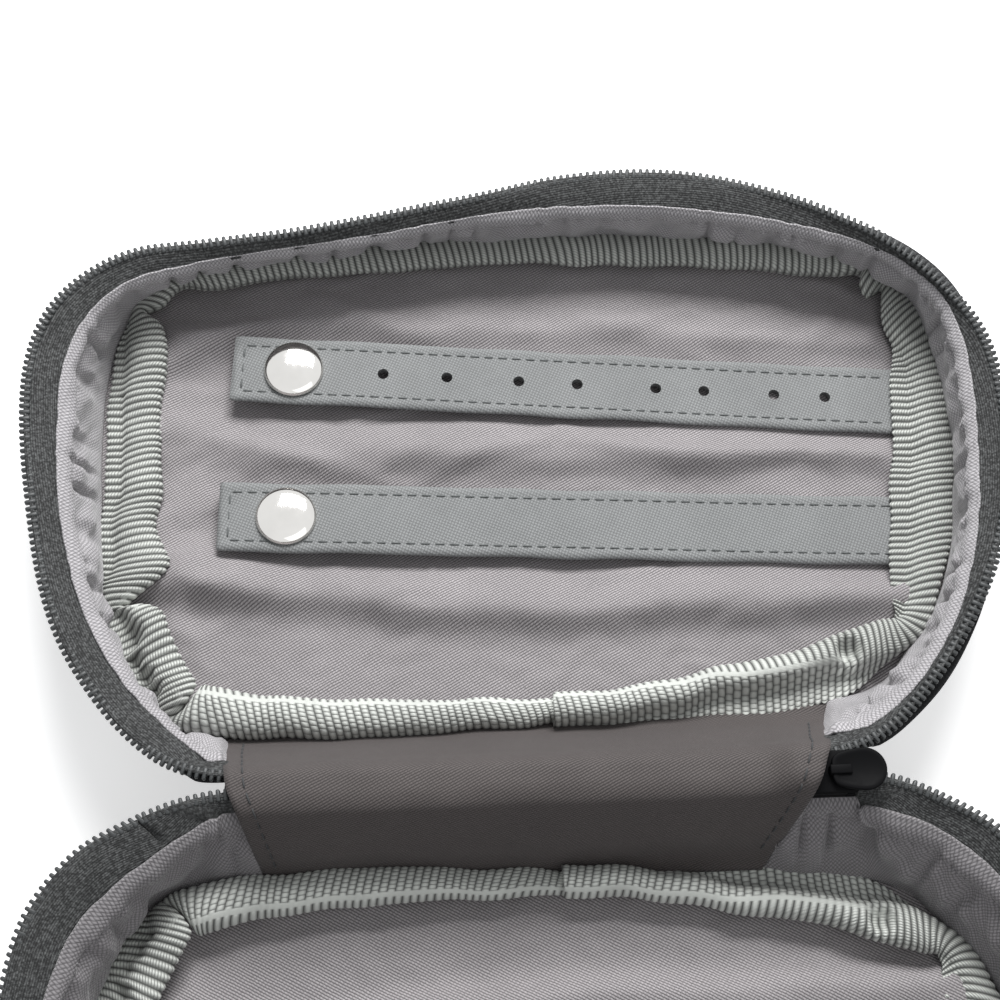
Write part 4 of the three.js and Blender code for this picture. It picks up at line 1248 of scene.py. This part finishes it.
def stitchesAlong(name, route, ups, pitch):
    route = np.array(route, float)
    ups = np.array(ups, float)
    run = runAlong(route)
    count = max(int(run[-1] / pitch), 1)

    def at(table, where):
        return np.array([np.interp(where, run, table[:, axis]) for axis in range(3)])

    matrices = []
    for number in range(count):
        middle = (number + 0.5) * run[-1] / count
        along = at(route, min(middle + 0.4, run[-1])) - at(route, max(middle - 0.4, 0))
        matrices.append(frameMatrix(at(route, middle), along, at(ups, middle)))
    return copiesOf(stitchModel, name, matrices)


def hingeStitchRoute(side):
    t = np.linspace(0.09, 0.91, 160)
    s = np.full_like(t, 0.0 if side < 0 else 1.0)
    edge = np.stack(hingePlace(s, t)[:3], axis=1)
    inner = np.stack(hingePlace(s - side * stitch["inward"] / 110, t)[:3], axis=1)
    ups = np.cross(np.gradient(inner, axis=0), (inner - edge) * -side)
    ups = ups / np.linalg.norm(ups, axis=1)[:, None]
    ups = np.where(ups[:, 2:3] < 0, -ups, ups)
    return inner + ups * 0.12, ups


stitchModel = makeStitchModel("stitchModel")
for label, side in (("hingeStitchesLeft", -1), ("hingeStitchesRight", 1)):
    piece = stitchesAlong(label, *hingeStitchRoute(side), stitch["length"] + stitch["gap"])
    finishPiece(piece, darkThread, blendTo=overFold)


# Straps: a turned and top-stitched band over a firm core

strapShape = {
    "size": (200, 40), "thickness": 1.4, "tail": 9.0, "holeRadius": 1.2, "seam": 2.3,
    "seamDepth": 0.22, "endDepth": 0.2, "lip": 0.1, "z": 5.6, "bend": 2.5,
}


def strapMatrix(s):
    angle = math.radians(s["tilt"])
    turn = Matrix.Rotation(angle, 4, "Z") @ Matrix.Rotation(math.radians(s["pitch"]), 4, "Y")
    turn.translation = Vector((*s["root"], strapShape["z"])) * mm
    return turn


def strapSag(along):
    return 0.12 * np.sin(along / 21.0) + 0.08 * np.sin(along / 9.0 + 1)


def makeStrap(name, s):
    f = strapShape
    around, seam = f["size"][1], f["seam"]
    half = s["width"] / 2
    turn = np.arange(around) / around * 2 * math.pi
    c, w = np.cos(turn), np.sin(turn)
    sides = half * np.abs(c) ** 0.22 * np.sign(c)
    heights = f["thickness"] / 2 * np.abs(w) ** 0.75 * np.sign(w)

    def place(a, t):
        along = f["tail"] - a * (s["length"] + f["tail"])
        index = np.round(t * around).astype(int) % around
        side, up = sides[index], heights[index]
        end = easeIn(-along, s["length"] - 0.9, s["length"])
        side = side * (1 - 0.04 * end)
        fromMiddle = np.abs(side)
        crown = s["crown"] * (1 - (side / half) ** 2) * np.sign(up)
        seamDip = -f["seamDepth"] * bell(fromMiddle - (half - seam), 0.55)
        endDip = -f["endDepth"] * bell(-along - (s["length"] - seam), 0.5) * (fromMiddle < half - seam)
        lip = f["lip"] * bell(fromMiddle - (half - 0.9), 0.7)
        top = np.where(up > 0.1, seamDip + endDip + lip, 0)
        z = (up + crown + top) * (1 - 0.75 * end) + strapSag(along)
        edge = 0.12 * ripple(along, side * 0, 16, 61) * (fromMiddle / half)
        return along, side + edge, z, along, side + np.where(up > 0, 0, 30)

    return gridPiece(name, f, place, closed=True, flip=True)


def punchHoles(piece, s):
    deselectAll()
    cutters = []
    for distance in s["holes"]:
        bpy.ops.mesh.primitive_cylinder_add(
            vertices=32, radius=strapShape["holeRadius"] * mm, depth=6 * mm, location=(-distance * mm, 0, 0)
        )
        cutters.append(bpy.context.object)
    cutter = joinPieces(cutters, "punch")
    settle(cutter)
    modify(piece, "BOOLEAN", operation="DIFFERENCE", solver="EXACT", object=cutter)
    applyAll(piece)
    smoothBelow(32)
    remove(cutter)


def strapSeams(label, s):
    # stitches along both sides and across the free end
    end = s["length"] - strapShape["seam"]
    half = s["width"] / 2 - strapShape["seam"]
    lift = strapShape["thickness"] / 2 + s["crown"] * (1 - (2 * half / s["width"]) ** 2) - 0.1
    runs = np.linspace(-3, end, 200)
    routes = [[(-d, side * half, lift + strapSag(-d)) for d in runs] for side in (-1, 1)]
    routes.append([(-end, y, lift + strapSag(-s["length"])) for y in np.linspace(-half, half, 30)])
    rows = []
    for number, route in enumerate(routes):
        ups = [(0, 0, 1)] * len(route)
        rows.append(stitchesAlong(f"{label}Row{number}", route, ups, stitch["strapPitch"]))
    return joinPieces(rows, label + "StrapStitches")


print("straps")
for label, s in straps.items():
    strap = makeStrap(label + "Strap", s)
    if s["holes"]:
        punchHoles(strap, s)
    angle = math.radians(s["tilt"])
    ahead = Vector((math.cos(angle), math.sin(angle), 0)) * strapShape["bend"] * mm
    root = Vector((*s["root"], strapShape["z"])) * mm
    bend = ("upper_half", label + "_strap", tuple(root + ahead), tuple(root - ahead))
    seams = strapSeams(label, s)
    for piece in (strap, seams):
        piece.data.transform(strapMatrix(s))
        piece.data.update()
    finishPiece(strap, strapCloth, nodes=(label + "_strap",), blendTo=bend)
    finishPiece(seams, greyThread, blendTo=bend)


# Press snaps, turned from a profile

snap = {"capRadius": 6.4, "capHeight": 2.3, "rim": 0.62, "steps": 72}


def spinProfile(name, profile, steps):
    deselectAll()
    bpy.ops.mesh.primitive_plane_add(size=0.001)
    piece = nameIt(name)
    editMesh()
    bpy.ops.mesh.merge(type="CENTER")
    bpy.ops.transform.translate(value=(profile[0][0] * mm, 0, profile[0][1] * mm))
    for first, second in zip(profile, profile[1:]):
        move = ((second[0] - first[0]) * mm, 0, (second[1] - first[1]) * mm)
        bpy.ops.mesh.extrude_region_move(TRANSFORM_OT_translate={"value": move})
    selectMesh()
    bpy.ops.mesh.spin(steps=steps, angle=2 * math.pi, center=(0, 0, 0), axis=(0, 0, 1), dupli=False)
    selectMesh()
    bpy.ops.mesh.remove_doubles(threshold=0.000002)
    bpy.ops.mesh.normals_make_consistent(inside=False)
    setMode("OBJECT")
    smoothBelow(35)
    return piece


def capProfile():
    radius, rise = snap["capRadius"], snap["capHeight"] - snap["rim"]
    profile = [(0, -0.2), (1.2, -0.2), (1.2, 0.0), (radius - 0.7, 0.0), (radius - 0.2, 0.08)]
    profile += [(radius, 0.32), (radius - 0.03, 0.5), (radius - 0.1, snap["rim"])]
    for step in range(1, 13):
        turn = step / 12 * math.pi / 2
        across = (radius - 0.1) * math.cos(turn) if step < 12 else 0.0
        profile.append((across, snap["rim"] + rise * math.sin(turn)))
    return profile


print("snaps")
for label, s in straps.items():
    cap = spinProfile(label + "SnapCap", capProfile(), snap["steps"])
    onStrap = Vector((-s["snap"], 0, strapShape["thickness"] / 2 + 0.1)) * mm
    cap.data.transform(strapMatrix(s) @ Matrix.Translation(onStrap))
    finishPiece(cap, nickel, label + "_strap", (label + "_snap_cap",))
    for part in ("socket", "stud", "post"):
        dressNode(f"{label}_snap_{part}", nickel)


# Slider and pull tab

slider = {"startX": 47.2, "endX": 59.5, "y": -2.25, "z": 25.3, "width": 8.3, "plate": 1.0, "gap": 2.1}
crown = {"startX": 54.1, "endX": 58.3, "half": 0.9, "leg": 0.7, "underZ": 28.7, "legZ": 29.1, "topZ": 29.3}
tab = {"pinX": 56.4, "z": 28.35, "head": 4.1, "reach": 8.6, "neck": 3.7, "back": 1.9, "thickness": 1.0}


def boxPiece(name, low, high, bevel):
    deselectAll()
    centre = [(a + b) / 2 * mm for a, b in zip(low, high)]
    bpy.ops.mesh.primitive_cube_add(size=1, location=centre)
    piece = nameIt(name)
    bpy.ops.transform.resize(value=[(b - a) * mm for a, b in zip(low, high)])
    settle(piece)
    modify(piece, "BEVEL", width=bevel * mm, segments=3)
    applyAll(piece)
    smoothBelow(40)
    return piece


def makeSlider():
    f, c = slider, crown
    start, end, y = f["startX"], f["endX"], f["y"]
    low, high = y - f["width"] / 2, y + f["width"] / 2
    roof, floor = f["z"] + f["gap"] / 2, f["z"] - f["gap"] / 2
    near, far, foot = y - c["half"], y + c["half"], roof + 0.5
    left, right, leg = c["startX"], c["endX"], c["leg"]
    parts = [
        boxPiece("sliderTop", (start, low, roof), (end, high, roof + f["plate"]), 0.45),
        boxPiece("sliderBottom", (start, low, floor - f["plate"]), (end, high, floor), 0.45),
        boxPiece("sliderPost", (end - 2, y - 1.3, floor - 0.5), (end, y + 1.3, foot), 0.3),
        boxPiece("crownNear", (left, near, foot), (left + leg, far, c["legZ"]), 0.25),
        boxPiece("crownFar", (right - leg, near, foot), (right, far, c["legZ"]), 0.25),
        boxPiece("crownTop", (left, near, c["underZ"]), (right, far, c["topZ"]), 0.29),
    ]
    for side in (low, high - 0.8):
        parts.append(boxPiece("flangeUp", (start, side, roof - 0.8), (end - 2, side + 0.8, foot), 0.25))
        flange = (start, side, floor - 0.5), (end - 2, side + 0.8, floor + 0.8)
        parts.append(boxPiece("flangeDown", *flange, 0.25))
    return joinPieces(parts, "zipSlider")


def makePullTab():
    f = tab
    head, headX = f["head"], f["reach"] - f["head"]
    deselectAll()
    bpy.ops.mesh.primitive_circle_add(vertices=48, radius=head * mm, fill_type="NGON", location=(0, 0, 0))
    piece = nameIt("zipPullTab")
    x, y, z = points(piece).T / mm
    # a blunter back end, drawn out to the pin and narrowed to the neck
    y = np.sign(y) * head * (np.abs(y) / head) ** (1 - 0.5 * easeIn(-x, 0.2, head))
    x = np.where(x < 0, x * (headX + f["back"]) / head, x)
    limit = head - easeIn(-x, 1.0, headX) * (head - f["neck"])
    y = np.where(x < -0.5, np.clip(y, -limit, limit), y)
    setPoints(piece, np.stack([x + headX, y, z], axis=1) * mm)
    editMesh()
    bpy.ops.mesh.inset(thickness=0.8 * mm, depth=0)
    bpy.ops.mesh.inset(thickness=0.25 * mm, depth=-0.12 * mm)
    setMode("OBJECT")
    modify(piece, "SOLIDIFY", thickness=f["thickness"] * mm, offset=0)
    sharp = math.radians(50)
    modify(piece, "BEVEL", width=0.28 * mm, segments=3, limit_method="ANGLE", angle_limit=sharp)
    applyAll(piece)
    smoothBelow(40)
    piece.data.transform(Matrix.Translation(Vector((f["pinX"], slider["y"], f["z"])) * mm))
    return piece


print("slider")
finishPiece(makeSlider(), blackEnamel, "zip_slider", ("zip_slider",))
finishPiece(makePullTab(), blackEnamel, "zip_pull_tab", ("zip_pull_tab",))
dressNode("zip_chain_end", teethNylon)


# Outer shell: padded nylon walls, a base panel and the strip behind the hinge

shell = {"size": (300, 26), "wall": 2.4, "puff": 0.9, "foot": 0.9, "start": 0.112}
basePanel = {"size": (110, 80), "margin": 2.2, "z": 0.05, "thickness": 1.0}
spineStrip = {"size": (80, 64), "halfWidth": 60.2, "thickness": 0.9}
spineProfile = [
    (14.5, 1.0), (12.2, 1.3), (11.6, 3.4), (0.9, 21.2), (0, 22.2), (-0.9, 21.2), (-11.6, 3.4),
    (-12.2, 1.3), (-14.5, 1.0),
]

def makeShellWall(name, flare):
    f = shell
    alongBand, _ = band(lambda a: wallPoint(a, 0.5, f["wall"], flare), f["start"])

    def place(s, t):
        around, run = alongBand(s)
        turn = (t % 1.0) * 2
        outside = turn <= 1
        share = np.where(outside, turn, 2 - turn)
        puff = f["puff"] * np.sin(math.pi * share) ** 0.6
        pull = 0.18 * ripple(run, share * 16, 15, 71)
        seams = -0.5 * bell(share - 0.06, 0.025) - 0.4 * bell(share - 0.93, 0.025)
        room = footRoom(around) * (1 - share) ** 1.5
        out = np.where(outside, f["wall"] + puff + pull + seams + room, 0.5)
        x, y = wallPoint(around, share, out, flare)[:2]
        outerZ = f["foot"] + (wallTop + 1.0 - f["foot"]) * share
        z = np.where(outside, outerZ, 1.4 + (wallTop - 1.6) * share)
        return x, y, z, run, share * 19

    return gridPiece(name, f, place, closed=True, flip=True)


def makeBasePanel(name):
    f = basePanel

    def place(s, t):
        x, y = floorPlace(s, t, -f["margin"], True)
        edge = edgeShare(s, t)
        z = f["z"] + 0.75 * (1 - easeIn(edge, 0.0, 0.03)) + 0.12 * (1 - easeIn(edge, 0.03, 0.06))
        return x, y, z, x, y

    return gridPiece(name, f, place, offset=1.0)


def spineStripPlace(s, t):
    rows = np.array(spineProfile)
    run = runAlong(rows)
    where = t * run[-1]
    y, z = (np.interp(where, run, rows[:, axis]) for axis in range(2))
    x = (2 * s - 1) * spineStrip["halfWidth"]
    return x, y, z + 0.08 * ripple(x, where, 18, 81), x, where


print("outer shell")
for half, flare in (("upper", 0), ("lower", 1)):
    wall = makeShellWall(half + "Shell", flare)
    panel = makeBasePanel(half + "BasePanel")
    if half == "lower":
        mirror(wall)
        mirror(panel)
    finishPiece(wall, outerNylon, half + "_half", (half + "_side_wall",))
    finishPiece(panel, outerNylon, half + "_half", (half + "_outer_panel",))
spineCover = gridPiece("spineCover", spineStrip, spineStripPlace, flip=True, offset=0)
finishPiece(spineCover, outerNylon, nodes=onSpine, blendTo=overFold)
remove(stitchModel)


# Floor, light and camera

studio = {
    "lens": 66.74, "camera": (-18.32, -86.39, 369.11), "elevation": 67.38, "azimuth": -5.15, "roll": 2.87,
    "world": 0.36, "key": 9.4, "fill": 0.9, "paper": 0.82, "glow": 0.55,
}


def seenDirectly(w):
    # 1 for the camera and for what it sees mirrored or through glass
    path = w.add("ShaderNodeLightPath").outputs
    clear = w.math("MAXIMUM", path["Is Glossy Ray"], path["Is Transmission Ray"])
    return w.math("MAXIMUM", path["Is Camera Ray"], clear)


def makeStage():
    deselectAll()
    bpy.ops.mesh.primitive_plane_add(size=4, location=(0, 0, -0.0002))
    floor = nameIt("studioFloor")
    material, w, shader, _, _ = newMaterial("studioPaper")
    grey = studio["paper"]
    w.feedAll(shader, {"Base Color": (grey, grey, grey, 1), "Roughness": 0.9})
    glow = w.add("ShaderNodeEmission", (1, 1, 1, 1), studio["glow"])
    both = w.add("ShaderNodeAddShader", shader.outputs[0], glow.outputs[0])
    chosen = w.add("ShaderNodeMixShader", seenDirectly(w), shader.outputs[0], both.outputs[0])
    w.feed(material.node_tree.nodes["Material Output"].inputs["Surface"], chosen.outputs[0])
    floor.data.materials.append(material)


def makeWorld():
    world = bpy.data.worlds.new("studioWorld")
    bpy.context.scene.world = world
    world.use_nodes = True
    w = Wires(world.node_tree)
    strength = w.mix(seenDirectly(w), studio["world"], 1.0)
    background = world.node_tree.nodes["Background"]
    w.feedAll(background, {"Color": (0.96, 0.98, 1.0, 1), "Strength": strength})


def makeLamp(name, place, size, power):
    deselectAll()
    bpy.ops.object.light_add(type="AREA", location=[v * mm for v in place])
    lamp = bpy.context.object
    lamp.name = name
    lamp.data.shape = "RECTANGLE"
    lamp.data.size, lamp.data.size_y = size
    lamp.data.energy = power
    direction = Vector((0, 40, 0)) * mm - lamp.location
    lamp.rotation_euler = direction.to_track_quat("-Z", "Y").to_euler()


def makeCamera():
    data = bpy.data.cameras.new("photoCamera")
    camera = bpy.data.objects.new("photoCamera", data)
    bpy.context.scene.collection.objects.link(camera)
    elevation, azimuth, roll = (math.radians(studio[key]) for key in ("elevation", "azimuth", "roll"))
    level = math.cos(elevation)
    back = Vector((math.sin(azimuth) * level, -math.cos(azimuth) * level, math.sin(elevation)))
    right = Vector((0, 0, 1)).cross(back).normalized()
    up = back.cross(right)
    turnedRight = right * math.cos(roll) + up * math.sin(roll)
    turnedUp = up * math.cos(roll) - right * math.sin(roll)
    matrix = Matrix((turnedRight, turnedUp, back)).transposed().to_4x4()
    matrix.translation = Vector(studio["camera"]) * mm
    camera.matrix_world = matrix
    data.sensor_fit = "HORIZONTAL"
    data.sensor_width = 36
    data.lens = studio["lens"]
    data.clip_start = 0.01
    data.clip_end = 20
    bpy.context.scene.camera = camera


print("stage")
makeStage()
makeWorld()
makeLamp("windowLight", (70, 590, 620), (0.45, 0.3), studio["key"])
makeLamp("fillLight", (350, -450, 700), (0.8, 0.8), studio["fill"])
makeCamera()
bpy.context.scene.view_settings.view_transform = "Standard"
